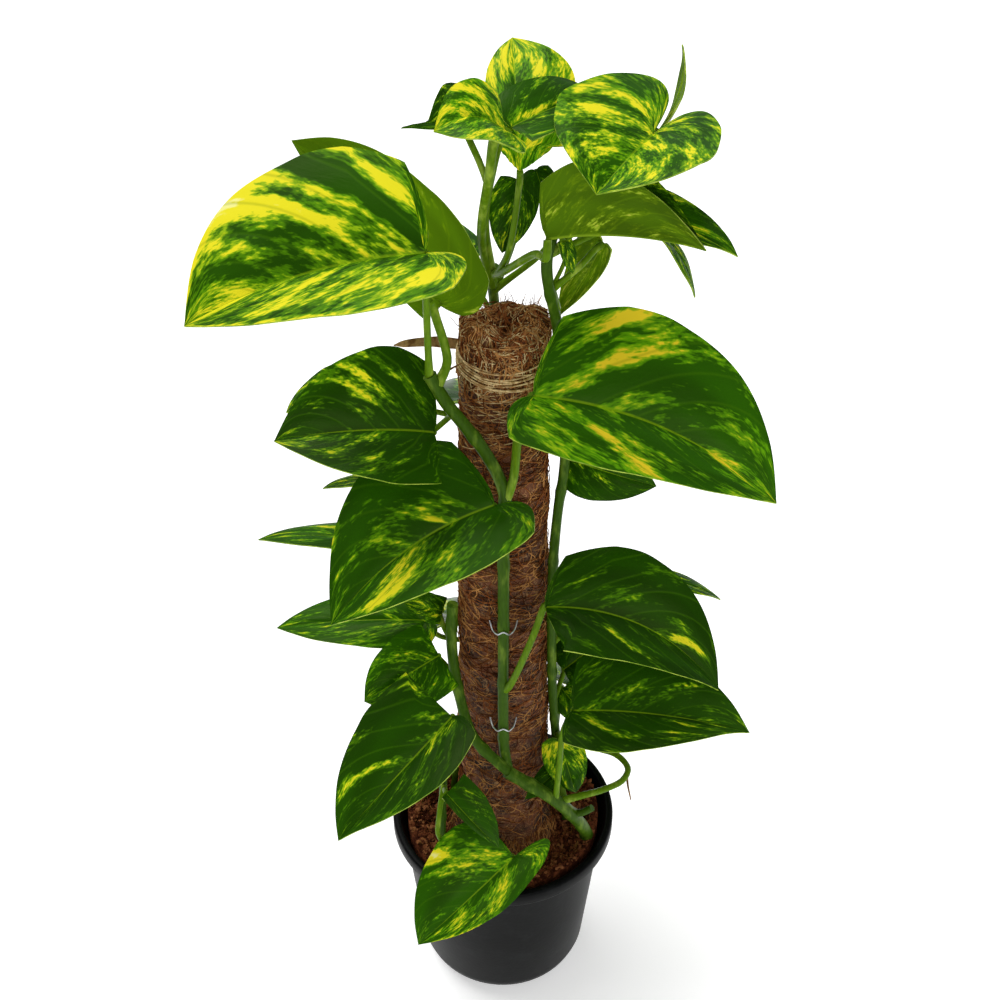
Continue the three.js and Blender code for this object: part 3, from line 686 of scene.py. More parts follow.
FIBRE_DARK = Finish(colour("452210"), colour("6e421f"), 90, (0.42, 0.6), 0.9, shine=0.1)


class Finishes:
    """Makes every material once."""

    def __init__(self) -> None:
        """Makes the shared effects."""
        self.variegation = variegation()
        self.mottle = mottle()
        self.felt = felt()
        self.made: dict[str, bpy.types.Material] = {}

    def mottled(self, name: str, finish: Finish) -> bpy.types.Material:
        """Makes a mottled material, or returns it if it is there.

        Args:
            name: Name of the material.
            finish: What it looks like.

        Returns:
            The material.
        """
        if name in self.made:
            return self.made[name]
        material, graph, target = shader(name)
        node = used(
            graph,
            self.mottle,
            {
                "Ground": finish.ground,
                "Mark": finish.mark,
                "Scale": finish.scale,
                "Stretch": finish.stretch,
                "Low": finish.band[0],
                "High": finish.band[1],
            },
        )
        graph.tree.links.new(node.outputs["Color"], target.inputs["Base Color"])
        target.inputs["Roughness"].default_value = finish.roughness
        target.inputs["Metallic"].default_value = finish.metallic
        target.inputs["Specular IOR Level"].default_value = finish.shine
        target.inputs["IOR"].default_value = SOFT_IOR
        bump(graph, target, node.outputs["Height"], strength=0.6, reach=finish.bump_depth)
        self.made[name] = material
        return material

    def blade(self, name: str, shades: LeafColours, matt: float, shine: float) -> bpy.types.Material:
        """Makes the material of one side of the leaves.

        Args:
            name: Name of the material.
            shades: Its colours.
            matt: Added to the roughness.
            shine: Strength of the reflection.

        Returns:
            The material.
        """
        material, graph, target = shader(name)
        inputs = {
            "Dark": shades.dark,
            "Green": shades.green,
            "Lime": shades.lime,
            "Yellow": shades.yellow,
            "Cream": shades.cream,
        }
        node = used(graph, self.variegation, inputs)
        graph.tree.links.new(node.outputs["Color"], target.inputs["Base Color"])
        roughness = graph.math("ADD", node.outputs["Roughness"], matt)
        graph.tree.links.new(roughness, target.inputs["Roughness"])
        target.inputs["Specular IOR Level"].default_value = shine
        target.inputs["Specular Tint"].default_value = LEAF_GLOSS
        target.inputs["IOR"].default_value = SOFT_IOR
        bump(graph, target, node.outputs["Height"], strength=0.5, reach=0.0004)
        return material

    def felted(self) -> bpy.types.Material:
        """Makes the coir sleeve's material.

        Returns:
            The material.
        """
        material, graph, target = shader("coir_felt")
        # 24110a is the painted shade in the felt's hollows, and 6b3d22 the lit ground.
        inputs = {"Ground": colour("6b3d22"), "Deep": colour("24110a"), "Fibre": colour("b08252")}
        node = used(graph, self.felt, inputs)
        graph.tree.links.new(node.outputs["Color"], target.inputs["Base Color"])
        target.inputs["Roughness"].default_value = 0.95
        bump(graph, target, node.outputs["Height"], strength=0.9, reach=0.0015)
        return material


# Leaves

# Half of a blade's outline from the sinus over the lobe to the tip: how far along the midrib, how wide, and
# what a fuller leaf adds to the width
OUTLINE = (
    (0, 0, 0),
    (-0.78, 0.15, 0),
    (-1, 0.43, 0),
    (-0.5, 0.8, 0),
    (0.2, 1, 0),
    (0.46, 0.87, 0.1),
    (0.7, 0.55, 0.3),
    (0.88, 0.2, 0.32),
    (1, 0, 0),
)

# FAN is the share of the outline whose veins start at the junction; a leaf without lobes starts at STUB_START
FAN = 0.36
SHORTEST_LOBE = 2
STUB_START = 0.43
VEIN_LEAN = 1.35
SHOULDER = (-0.5, 0.2)
LOBE_DROOP = 0.5
RIB_GROOVE = 0.7
RIB_WIDTH = 1.3
RIB_CROWDING = 1.4
QUILT = 0.32
TIP_WIDTH = 0.03

# Blades longer or wider than these have the fine grid
LARGE_LENGTH = 70
LARGE_WIDTH = 60
FINE_GRID = (30, 70)
COARSE_GRID = (18, 40)


def outline_at(u: float) -> Point:
    """Reads the half-outline smoothly.

    Args:
        u: From the sinus at 0 to the tip at 1.

    Returns:
        How far along the midrib, how wide, and what a fuller leaf adds.
    """
    last = len(OUTLINE) - 1
    place = u * last
    index = min(int(place), last - 1)
    t = place - index
    picked = [OUTLINE[int(clamp(index + offset, 0, last))] for offset in (-1, 0, 1, 2)]
    values = []
    for before, start, end, after in zip(*picked):
        linear = 2 * start + (end - before) * t
        square = (2 * before - 5 * start + 4 * end - after) * t * t
        cube = (3 * start - before - 3 * end + after) * t * t * t
        values.append((linear + square + cube) / 2)
    return tuple(values)


def lobed_margin(extent: float, on_blade: bool, lobe: float, length: float) -> float:
    """How far along the midrib a lobed half's margin lies. Its shoulder is round even with a short lobe.

    Args:
        extent: The outline's own measure, -1 at the lobe's end and 1 at the tip.
        on_blade: Whether the margin has passed the sinus.
        lobe: Length of the lobe.
        length: Length of the blade.

    Returns:
        Millimetres from the junction, below 0 in the lobe.
    """
    low, high = SHOULDER
    if on_blade and low < extent < high:
        return mix(low * lobe, high * length, (extent - low) / (high - low))
    return extent * (lobe if extent < 0 else length)


@dataclass(frozen=True)
class Leaf:
    """A leaf as the part has it: the blade's frame, its outline and folds, and the petiole's way to it."""

    name: str
    vine: str
    base: Point
    tip: Point
    face: Point
    half: Pair
    petiole: tuple[Point, ...] = ()
    lobe: Pair = (4, 4)
    full: Pair = (0.3, 0.3)
    taper: float = 0
    fold: Pair = (12, 12)
    curl: Pair = (-30, -30)
    arch: float = 4
    bend: float = 0
    wave: float = 1
    waves: float = 2
    stalk: float = 1.8

    @property
    def length(self) -> float:
        """Distance from the junction to the tip."""
        return (Vector(self.tip) - Vector(self.base)).length

    @property
    def seed(self) -> float:
        """A number that sets its marks apart from other leaves'."""
        return 7.3 * len(self.name) + self.base[0] * 0.31 + self.base[2] * 0.17

    @property
    def axes(self) -> tuple[Vector, Vector, Vector]:
        """The blade's own directions.

        Returns:
            Along the midrib, across to the left half, and out of the upper face.
        """
        along = (Vector(self.tip) - Vector(self.base)).normalized()
        up = Vector(self.face)
        up = (up - along * up.dot(along)).normalized()
        return along, up.cross(along), up

    def point(self, u: float, w: float) -> Vector:
        """A point of the blade's middle surface.

        Args:
            u: From the sinus at 0 to the tip at 1.
            w: From the right margin at -1 over the midrib to the left margin at 1.

        Returns:
            The point in millimetres.
        """
        side = 1 if w < 0 else 0
        share = abs(w)
        length = self.length
        lobed = self.lobe[side] >= SHORTEST_LOBE
        place = u if lobed else max(u, STUB_START)
        extent, slim, fuller = outline_at(place)
        if lobed:
            margin = lobed_margin(extent, u > FAN / 2, self.lobe[side], length)
        else:
            margin = max(-self.lobe[side], extent * length)
        rib = max(0, (u - FAN) / (1 - FAN)) * length
        along = rib + (margin - rib) * share**VEIN_LEAN
        taper = 1 - self.taper * (1 - clamp(extent, 0, 1))
        tip_width = TIP_WIDTH if u < 1 else 0
        reach = max(slim + self.full[side] * fuller, min(slim, tip_width)) * taper * share
        fold = math.radians(self.fold[side])
        curl = math.radians(self.curl[side])
        across = self.half[side] / curl * (math.sin(fold + curl * reach) - math.sin(fold))
        lift = self.half[side] / curl * (math.cos(fold) - math.cos(fold + curl * reach))
        ripple = self.wave * share * reach * math.sin(2 * math.pi * (self.waves * place + 0.25 * side))
        s = along / length
        bow = 4 * s * (1 - s) * (LOBE_DROOP if s < 0 else 1)
        ahead, aside, up = self.axes
        point = Vector(self.base) + ahead * along
        point += aside * (self.bend * bow + (-across if side else across))
        return point + up * (lift + ripple + self.arch * bow)

    def petiole_path(self) -> list[Vector]:
        """The petiole's way, up to just under the blade.

        Returns:
            Points from the stem to the blade.
        """
        up = self.axes[2]
        base = Vector(self.base)
        knee = base - up * (BLADE / 2 + GAP + 3.5 * self.stalk)
        end = base - up * (BLADE / 2 + GAP)
        return smooth_path([*self.petiole, tuple(knee), tuple(end)], PETIOLE_SPACING)


@dataclass(frozen=True)
class Patch:
    """A streak along the side veins where a blade is yellower, or greener where strength is below 0.

    vein says which vein it follows, by its start on the midrib, and w how far out it lies. The reaches say
    how wide and how long it is.
    """

    vein: float
    w: float
    reach_vein: float
    reach_w: float
    strength: float


@dataclass(frozen=True)
class Marking:
    """How a blade is coloured.

    gold says how yellow it is all over, and the patches where that differs. warm turns its yellow to orange,
    and tone lightens or darkens its greens.
    """

    gold: float = -0.06
    patches: tuple[Patch, ...] = ()
    warm: float = 0.0
    tone: float = 1.1

    def at(self, u: float, w: float) -> float:
        """How yellow the blade is at a point.

        Args:
            u: From the sinus at 0 to the tip at 1.
            w: From the right margin at -1 to the left margin at 1.

        Returns:
            What is added to the marks there.
        """
        value = self.gold
        for patch in self.patches:
            vein = u - VEIN_SWEEP * abs(w)
            away = ((vein - patch.vein) / patch.reach_vein) ** 2 + ((w - patch.w) / patch.reach_w) ** 2
            value += patch.strength * math.exp(-away)
        return value


PLAIN = Marking()

MARKINGS = {
    "crown_left": Marking(
        0.04,
        (
            Patch(0.49, -0.55, 0.03, 0.6, 0.24),
            Patch(0.52, -0.92, 0.06, 0.16, 0.24),
            Patch(0.385, -0.6, 0.035, 0.5, 0.15),
            Patch(0.445, -0.75, 0.016, 0.25, -0.3),
            Patch(0.315, -0.6, 0.035, 0.5, -0.45),
            Patch(0.235, -0.75, 0.018, 0.3, 0.2),
            Patch(0.6, -0.5, 0.03, 0.3, -0.12),
            Patch(0.72, -0.4, 0.04, 0.4, -0.12),
            Patch(0.36, 0.6, 0.03, 0.35, 0.16),
            Patch(0.5, 0.4, 0.05, 0.2, -0.16),
            Patch(0.6, -1, 0.4, 0.04, 0.2),
            Patch(0.5, 1, 0.5, 0.05, 0.2),
        ),
        tone=1.25,
    ),
    "crown_left_back": Marking(-0.14),
    "upper_left": Marking(
        -0.12,
        (
            Patch(0.44, -0.7, 0.02, 0.35, 0.34),
            Patch(0.345, -0.6, 0.02, 0.35, 0.2),
            Patch(0.51, -0.5, 0.01, 0.3, 0.1),
            Patch(0.74, 0.6, 0.06, 0.4, 0.24),
        ),
        tone=1.05,
    ),
    "mid_left": Marking(
        -0.14,
        (
            Patch(0.6, 0.5, 0.08, 0.5, 0.4),
            Patch(0.43, 0.5, 0.014, 0.3, 0.16),
            Patch(0.51, -0.14, 0.01, 0.12, 0.4),
            Patch(0.4, -0.4, 0.012, 0.3, 0.12),
            Patch(0.5, -1, 0.06, 0.06, 0.2),
        ),
        tone=1.4,
    ),
    "upper_right": Marking(
        -0.09,
        (
            Patch(0.385, 0.6, 0.032, 0.5, 0.38),
            Patch(0.26, 0.85, 0.03, 0.25, 0.26),
            Patch(0.3, 0.6, 0.012, 0.3, -0.2),
            Patch(0.45, 0.8, 0.02, 0.25, 0.1),
            Patch(0.62, 0.3, 0.03, 0.2, 0.1),
            Patch(0.405, -0.55, 0.028, 0.35, 0.3),
            Patch(0.81, -0.2, 0.05, 0.25, 0.26),
        ),
        warm=0.5,
        tone=1.6,
    ),
    "mid_right": Marking(
        -0.16,
        (
            Patch(0.76, 0.3, 0.03, 0.25, 0.4),
            Patch(0.51, 0.18, 0.01, 0.2, 0.2),
            Patch(0.47, -0.6, 0.028, 0.3, 0.3),
            Patch(0.3, -0.7, 0.02, 0.4, 0.2),
        ),
        tone=0.95,
    ),
    "low_right": Marking(
        -0.15,
        (
            Patch(0.56, 0.65, 0.016, 0.2, 0.38),
            Patch(0.435, 0.25, 0.012, 0.2, 0.22),
            Patch(0.37, -0.45, 0.02, 0.35, 0.2),
            Patch(0.67, -0.35, 0.012, 0.2, 0.36),
        ),
        tone=1.0,
    ),
    "low_left": Marking(
        -0.15,
        (
            Patch(0.585, -0.55, 0.032, 0.4, 0.26),
            Patch(0.5, 0.5, 0.02, 0.4, 0.1),
        ),
        tone=1.0,
    ),
    "low_left_round": Marking(-0.1, (Patch(0.42, -0.35, 0.05, 0.3, 0.24),), warm=0.3, tone=1.5),
    "pot_front": Marking(
        -0.1,
        (
            Patch(0.38, -0.92, 0.03, 0.18, 0.6),
            Patch(0.47, -0.6, 0.035, 0.35, 0.2),
            Patch(0.35, -0.4, 0.02, 0.3, 0.12),
            Patch(0.41, 0.4, 0.06, 0.4, 0.14),
            Patch(0.7, -0.5, 0.12, 0.5, -0.12),
            Patch(0.55, 0.98, 0.3, 0.04, 0.25),
        ),
        tone=1.5,
    ),
    "pot_front_folded": Marking(-0.16),
    "crown_front": Marking(
        0.06,
        (Patch(0.45, -0.5, 0.06, 0.5, 0.12), Patch(0.6, 0.5, 0.3, 0.5, -0.12)),
        tone=1.7,
    ),
    "crown_front_right": Marking(
        -0.14,
        (Patch(0.5, 0.12, 0.2, 0.1, 0.3), Patch(0.5, -0.7, 0.2, 0.3, 0.1)),
        tone=1.3,
    ),
    "crown_peak": Marking(
        0.04,
        (
            Patch(0.68, -0.45, 0.1, 0.18, 0.26),
            Patch(0.6, -0.9, 0.15, 0.2, 0.1),
            Patch(0.65, 0.6, 0.12, 0.25, 0.18),
            Patch(0.7, 0, 0.2, 0.2, -0.14),
        ),
        tone=1.8,
    ),
    # Its raised tone lightens the whole blade, partly as painted sheen for its glossy, drooping front half.
    "crown_right": Marking(
        0.0,
        (
            Patch(0.215, -0.6, 0.03, 0.35, 0.32),
            Patch(0.34, -0.6, 0.03, 0.35, 0.26),
            Patch(0.27, -0.7, 0.015, 0.3, -0.12),
            Patch(0.6, -0.7, 0.1, 0.3, 0.08),
            Patch(0.45, 0.5, 0.15, 0.5, 0.03),
        ),
        tone=1.35,
    ),
    "crown_right_front": Marking(
        -0.1,
        (Patch(0.3, 0.8, 0.1, 0.3, 0.1), Patch(0.8, 0.3, 0.08, 0.5, 0.16)),
        tone=0.8,
    ),
    "crown_right_back": Marking(-0.12, (Patch(0.75, 0, 0.08, 0.6, 0.24),), tone=1.3),
    "crown_left_small": Marking(-0.14),
    "crown_curled": Marking(-0.2),
    "soil_right": Marking(-0.06, (Patch(0.3, 0, 0.12, 1, 0.18), Patch(0.7, 0, 0.2, 1, -0.1)), tone=1.2),
    "soil_right_dark": Marking(-0.18),
    "upper_right_back": Marking(-0.16),
    "mid_right_inner": Marking(-0.12),
    "mid_left_back": Marking(-0.1, tone=1.4),
    "left_thin": Marking(-0.1, tone=1.4),
}

LEAVES = (
    Leaf("crown_left", "vine_main", base=(-37, -45, 588), tip=(-151, -62, 558), face=(-0.1, -0.75, 0.66),
         half=(42, 58), lobe=(17, 5), full=(0.35, 0.9), fold=(48, 4), curl=(-10, -20), bend=-6, wave=1.5,
         petiole=((-38, -30, 508), (-38, -35, 543), (-37.5, -39, 566)), stalk=2),
    Leaf("crown_left_back", "vine_main", base=(-34, -8, 539), tip=(-105, 22, 614), face=(0, 0.9, -0.1),
         half=(36, 14), lobe=(16, 3), full=(0.8, 0.2), fold=(8, 8), curl=(-12, -12),
         petiole=((-34, -30, 504), (-29, -24, 514)), stalk=2.6),
    Leaf("upper_left", "vine_main", base=(-37, -20, 467), tip=(-119, -42, 477), face=(0, -0.8, 0.6),
         half=(36, 45), lobe=(-3, 2), full=(0.3, 0.5), fold=(42, 4), curl=(-10, -20), bend=-3,
         petiole=((-27, -31, 488), (-29, -17, 475))),
    Leaf("mid_left", "vine_main", base=(-5, -46, 438), tip=(-91, -90, 392), face=(-0.1, -0.75, 0.66),
         half=(39, 53), lobe=(14, 4), full=(0.3, 0.3), fold=(42, 4), curl=(-10, -20), bend=-8,
         petiole=((0, -31, 422), (-3, -36, 427))),
    Leaf("upper_right", "vine_main", base=(15, -46, 508), tip=(139, -70, 458), face=(0.1, -0.75, 0.66),
         half=(56, 38), lobe=(4, 9), full=(0.7, 0.3), fold=(4, 36), curl=(-20, -10), bend=11, wave=1.5,
         petiole=((1, -31, 430), (5, -33, 445), (8, -36, 480)), stalk=2.6),
    Leaf("upper_right_back", "vine_right", base=(38, 14, 424), tip=(87, 2, 414), face=(0, -0.9, 0.45),
         half=(20, 19), lobe=(4, 4), petiole=((30, -6, 392), (33, 8, 396), (37, 19, 410))),
    Leaf("mid_right", "vine_main", base=(24, -46, 365), tip=(122, -70, 323), face=(0.1, -0.75, 0.66),
         half=(40, 32), lobe=(4, -16), full=(0.6, 0.2), fold=(4, 42), curl=(-20, -10), bend=14,
         petiole=((0, -32, 284), (4, -37, 294), (16, -42, 335)), stalk=2.3),
    Leaf("mid_right_thin", "vine_right", base=(80, 15, 335), tip=(133, 10, 320), face=(0, 0.2, 1),
         half=(12, 10), lobe=(3, 3), petiole=((28, -10, 300), (45, 0, 312), (70, 14, 326))),
    Leaf("mid_right_inner", "vine_right", base=(38, 4, 266), tip=(78, 14, 300), face=(-0.1, -0.8, 0.6),
         half=(24, 24), lobe=(1, 1), full=(0.4, 0.6), fold=(4, 30),
         petiole=((31, -7, 243), (36, 5, 252))),
    Leaf("low_right_inner", "vine_right", base=(38, 8, 245), tip=(60, -6, 222), face=(0, -0.8, 0.6),
         half=(11, 11), lobe=(1, 1), petiole=((34, -5, 212), (36, 8, 228))),
    Leaf("low_right", "vine_main", base=(41, -56, 292), tip=(141, -80, 299), face=(0.05, -0.75, 0.66),
         half=(38, 27), lobe=(2, 4), full=(0.6, -0.1), fold=(4, 38), curl=(-20, -10), bend=4,
         petiole=((33, -45, 199), (34.5, -47, 230), (36.5, -48, 268)), stalk=2),
    Leaf("low_left", "vine_main", base=(-30, -60, 291), tip=(-96, -110, 240), face=(-0.1, -0.75, 0.66),
         half=(28, 40), lobe=(5, 0), full=(0, 0.4), fold=(42, 4), curl=(-10, -20),
         petiole=((-18, -37, 248), (-26, -44, 265))),
    Leaf("low_left_round", "vine_main", base=(-39, -18, 300), tip=(-83, -44, 287),
         face=(-0.1, -0.75, 0.66), half=(23, 24), lobe=(1, 1), full=(0.6, 0.6),
         petiole=((-28.3, -23, 284), (-36, -13, 288))),
    Leaf("mid_left_back", "vine_left", base=(-48, 10, 303), tip=(-143, 20, 287), face=(0, -0.3, 1),
         half=(20, 24), lobe=(8, 8), petiole=((-22, 21, 275), (-40, 14, 286))),
    Leaf("mid_left_small", "vine_main", base=(-37, -2, 322), tip=(-60, -4, 331), face=(0, -0.75, 0.66),
         half=(9, 9), lobe=(1, 1), petiole=((-30, -16, 308), (-36, -6, 312))),
    Leaf("left_thin", "vine_left", base=(-60, 2, 372), tip=(-143, 0, 376), face=(0, 0.1, 1),
         half=(16, 16), lobe=(5, 5), petiole=((-21, 20, 345), (-42, 10, 356))),
    Leaf("left_dark", "vine_left", base=(-62, 17, 404), tip=(-104, 10, 406), face=(0, 0.1, 1),
         half=(9, 9), lobe=(3, 3), petiole=((-20, 20, 382), (-45, 18, 390))),
    Leaf("upper_left_back", "vine_left", base=(-82, 20, 474), tip=(-122, 20, 452), face=(0, -0.4, 0.9),
         half=(14, 14), petiole=((-19, 20, 448), (-50, 18, 458))),
    Leaf("crown_peak", "vine_back", base=(7.5, -10, 613), tip=(4, 50, 655), face=(0, -0.75, 0.65),
         half=(23, 44), lobe=(-10, -10), full=(0.6, 0.8), taper=0.6, fold=(8, 8),
         petiole=((-5, 24, 538), (-2, 10, 549), (3, -2, 568))),
    Leaf("crown_front", "vine_back", base=(0, -40, 646.5), tip=(-31, -54, 652), face=(0, -0.75, 0.66),
         half=(20, 19), lobe=(7, 0), full=(0.9, 0.7), fold=(48, 6), curl=(-20, -25), bend=-5,
         petiole=((-6, 27, 530), (-11, 16, 560), (-11, 4, 578), (-7, -22, 616)), stalk=2.7),
    Leaf("crown_front_right", "vine_back", base=(3, -34, 645.5), tip=(43, 8, 643), face=(0, -0.75, 0.66),
         half=(18, 14), lobe=(2, 0), full=(0.8, 0.6), fold=(4, 30), curl=(-25, -10),
         petiole=((-5, 26, 533), (-9, 10, 575), (-5, -14, 616))),
    Leaf("crown_right", "vine_right", base=(68, -25.5, 638.3), tip=(40.5, -64, 627),
         face=(0, -0.75, 0.66), half=(38, 44), lobe=(25, 36), full=(0.5, 0.7), fold=(44, 4),
         curl=(-12, -20), arch=3,
         petiole=((26, -15, 540), (21, -24, 575), (33, -10, 604), (58, -8, 619)), stalk=2.4),
    Leaf("crown_spike", "vine_right", base=(74, 2, 627), tip=(84, 20, 663), face=(1, 0.1, 0),
         half=(8, 8), lobe=(3, 3), bend=2, petiole=((33, -10, 604), (62, 2, 610))),
    Leaf("crown_right_back", "vine_right", base=(51, -22, 605), tip=(107, -60, 594),
         face=(0.1, -0.6, 0.8), half=(14, 11), lobe=(3, 3), full=(0.6, -0.2),
         petiole=((21, -24, 575), (38, -14, 586))),
    Leaf("crown_right_front", "vine_back", base=(20.3, -42, 593.8), tip=(90.3, -72, 603.7),
         face=(0.06, 0.44, 0.9), half=(38, 34), lobe=(3, 3), full=(0.2, 0.2), fold=(72, 72),
         curl=(-8, -8), petiole=((-5, 24, 538), (-1, 8, 548), (15, -26, 577)), stalk=2.2),
    Leaf("crown_drooping", "vine_right", base=(70, -20, 590), tip=(92, -40, 561), face=(1, -0.4, 0.2),
         half=(7, 7), lobe=(2, 2), petiole=((21, -24, 575), (50, -8, 580))),
    Leaf("crown_hanging", "vine_right", base=(29, -31, 586), tip=(33, -33, 570), face=(0.3, -0.9, 0.2),
         half=(4, 4), lobe=(1, 1), arch=1, petiole=((24, -17, 553), (30, -20, 572)), stalk=1.2),
    Leaf("pole_top_right", "vine_right", base=(49, -8, 573), tip=(28, 12, 518), face=(0.4, 0.8, -0.3),
         half=(14, 7), lobe=(2, 2), full=(0.3, 0), petiole=((24, -18, 553), (38, -20, 568))),
    Leaf("crown_inner", "vine_back", base=(8, 22, 591), tip=(-1, 14, 556), face=(0, -0.9, 0.3),
         half=(12, 13), lobe=(2, 2), petiole=((-5, 29, 524), (6, 33, 556), (9, 33, 578))),
    Leaf("crown_curled", "vine_back", base=(16, 12, 602), tip=(21, 4, 590), face=(0, -0.9, 0.4),
         half=(8, 8), lobe=(2, 2), arch=1, petiole=((-5, 28, 526), (24, 26, 556), (23, 21, 586))),
    Leaf("crown_left_small", "vine_back", base=(-15, -12, 638), tip=(-47, -30, 643),
         face=(0, -0.75, 0.66), half=(5, 19), lobe=(0, -4), full=(0, -2),
         petiole=((-7.5, -17, 609), (-12, -18, 622))),
    Leaf("soil_right", "vine_main", base=(36, -20, 226), tip=(47, -30, 189), face=(0, -0.8, 0.6),
         half=(14, 14),
         petiole=((36, -43, 196), (51, -40, 198), (64, -42, 206), (75, -38, 209), (79.6, -30, 210),
                  (78, -22, 209), (72, -14, 208), (60, -6, 205), (48, -4, 212)),
         stalk=2.2),
    Leaf("soil_right_dark", "vine_right", base=(42, -14, 200), tip=(14, -36, 189), face=(0, -0.6, 0.8),
         half=(9, 9), lobe=(1, 1), petiole=((37, -4, 180), (42, -9, 187))),
    Leaf("pot_front", "vine_pot_front", base=(6, -72, 176), tip=(-53, -110, 139), face=(0, -0.75, 0.66),
         half=(20, 40), lobe=(24, 2), full=(0.2, 0.5),
         petiole=((-37, -46, 215), (-40, -58, 201), (-40, -64, 186), (-22, -62, 172))),
    Leaf("pot_front_folded", "vine_pot_front", base=(-35, -60, 223), tip=(-3, -74, 189),
         face=(0, -0.75, 0.66), half=(17, 4), lobe=(1, 0), petiole=((-37, -42, 206), (-36, -50, 213))),
    Leaf("back_crown_left", "vine_back", base=(-34, 42, 538), tip=(-104, 100, 537),
         face=(-0.2, 0.2, 0.95), half=(36, 36), lobe=(14, 14), petiole=((-4, 30, 505), (-16, 38, 522))),
    Leaf("back_upper_right", "vine_back", base=(42, 44, 455), tip=(120, 108, 410), face=(0.3, 0.4, 0.86),
         half=(40, 40), lobe=(15, 15), petiole=((-1, 32, 425), (20, 42, 438))),
    Leaf("back_upper_left", "vine_back", base=(-22, 52, 386), tip=(-82, 118, 306),
         face=(-0.4, 0.5, 0.76), half=(40, 40), lobe=(15, 15), petiole=((-1, 34, 360), (-10, 44, 372))),
    Leaf("back_centre", "vine_back", base=(-6, 66, 430), tip=(-8, 146, 392), face=(0, 0.35, 0.93),
         half=(34, 34), lobe=(13, 13), petiole=((-1, 33, 390), (-4, 48, 410))),
    Leaf("back_mid_right", "vine_back", base=(44, 46, 289), tip=(118, 112, 230), face=(0.4, 0.4, 0.82),
         half=(42, 42), lobe=(16, 16), petiole=((0, 35, 262), (22, 44, 276))),
    Leaf("back_mid_left", "vine_back", base=(-30, 58, 262), tip=(-80, 128, 196), face=(-0.3, 0.5, 0.8),
         half=(38, 38), lobe=(14, 14), petiole=((0, 36, 235), (-14, 48, 250))),
    Leaf("back_low_right", "vine_back", base=(50, 52, 202), tip=(118, 112, 140), face=(0.4, 0.4, 0.82),
         half=(34, 34), lobe=(13, 13), petiole=((0, 38, 172), (26, 48, 190))),
)


class Blades:
    """Builds the leaves."""

    def __init__(self, finishes: Finishes) -> None:
        """Makes the materials of a blade's upper side, its under side and its edge.

        Args:
            finishes: What makes the materials.
        """
        self.materials = [
            finishes.blade("blade_upper", UPPER_SIDE, 0.0, 0.3),
            finishes.blade("blade_under", UNDER_SIDE, 0.2, 0.2),
            finishes.mottled("blade_edge", BLADE_EDGE),
        ]

    def relief(self, leaf: Leaf, u: float, w: float) -> float:
        """How far the blade's quilted skin stands out of its smooth form.

        Args:
            leaf: The leaf.
            u: From the sinus at 0 to the tip at 1.
            w: From the right margin at -1 to the left margin at 1.

        Returns:
            Millimetres, below 0 in the groove over the midrib.
        """
        side = 1 if w < 0 else 0
        share = abs(w)
        width = share * leaf.half[side] * outline_at(u)[1]
        size = min(1.0, leaf.length / 60)
        groove = -RIB_GROOVE * size * math.exp(-((width / RIB_WIDTH) ** 2)) * (1 - u)
        pucker = abs(math.sin(math.pi * VEINS_A_SIDE * (u - VEIN_SWEEP * share))) ** 0.7
        fade = ease(0, 0.25, share) * (1 - 0.8 * ease(0.6, 1, share)) * (1 - ease(0.8, 1, u))
        fine = noise.noise(Vector((w * 3, u * 9, leaf.base[0])))
        return groove + QUILT * size * fade * (pucker + 0.9 * fine)

    def build(self, leaf: Leaf, marking: Marking) -> bpy.types.Object:
        """Builds one leaf.

        Args:
            leaf: Its form.
            marking: Its colouring.

        Returns:
            The piece.
        """
        large = leaf.length > LARGE_LENGTH or sum(leaf.half) > LARGE_WIDTH
        columns, rows = FINE_GRID if large else COARSE_GRID
        bm = bmesh.new()
        bmesh.ops.create_grid(bm, x_segments=columns, y_segments=rows, size=1)
        blade_map = bm.loops.layers.uv.new(BLADE_MAP)
        gold = bm.verts.layers.float.new("gold")
        seed = bm.verts.layers.float.new("seed")
        warm = bm.verts.layers.float.new("warm")
        tone = bm.verts.layers.float.new("tone")
        where = {}
        for vertex in bm.verts:
            w = -math.copysign(abs(vertex.co.x) ** RIB_CROWDING, vertex.co.x)
            where[vertex.index] = ((vertex.co.y + 1) / 2, w)
        for face in bm.faces:
            for loop in face.loops:
                u, w = where[loop.vert.index]
                loop[blade_map].uv = (w / 2 + 0.5, u)
        heights = {}
        for vertex in bm.verts:
            u, w = where[vertex.index]
            vertex.co = leaf.point(u, w) * MM
            vertex[gold] = marking.at(u, w)
            vertex[warm] = marking.warm
            vertex[tone] = marking.tone
            vertex[seed] = leaf.seed
            heights[vertex] = self.relief(leaf, u, w)
        bmesh.ops.remove_doubles(bm, verts=bm.verts, dist=WELD * MM)
        bm.normal_update()
        moved = [(vertex, vertex.normal * heights[vertex] * MM) for vertex in bm.verts if vertex in heights]
        for vertex, step in moved:
            vertex.co += step
        piece = thickened(object_of(f"{leaf.name}_blade", bm, self.materials), under=1, rim=2)
        piece.data.set_sharp_from_angle(angle=math.radians(60))
        return dress(piece, Slot.LEAF, leaf.name)


# Vines

# Swellings of stems and petioles: what each adds to the radius, where it lies and how long it is
NODE_SWELL = 0.16
NODE_PLACE = 0.5
NODE_LENGTH = 0.06
CLASP_SWELL = 0.25
CLASP_LENGTH = 0.12
ELBOW_SWELL = 0.1
ELBOW_PLACE = 0.93
ELBOW_LENGTH = 0.06


def swelling(share: float, place: float, length: float) -> float:
    """Rises to 1 at its place and falls away on both sides."""
    return math.exp(-(((share - place) / length) ** 2))


@dataclass(frozen=True)
class Stem:
    """One stem of a vine: its radius and the points it goes through."""

    radius: float
    path: tuple[Point, ...]


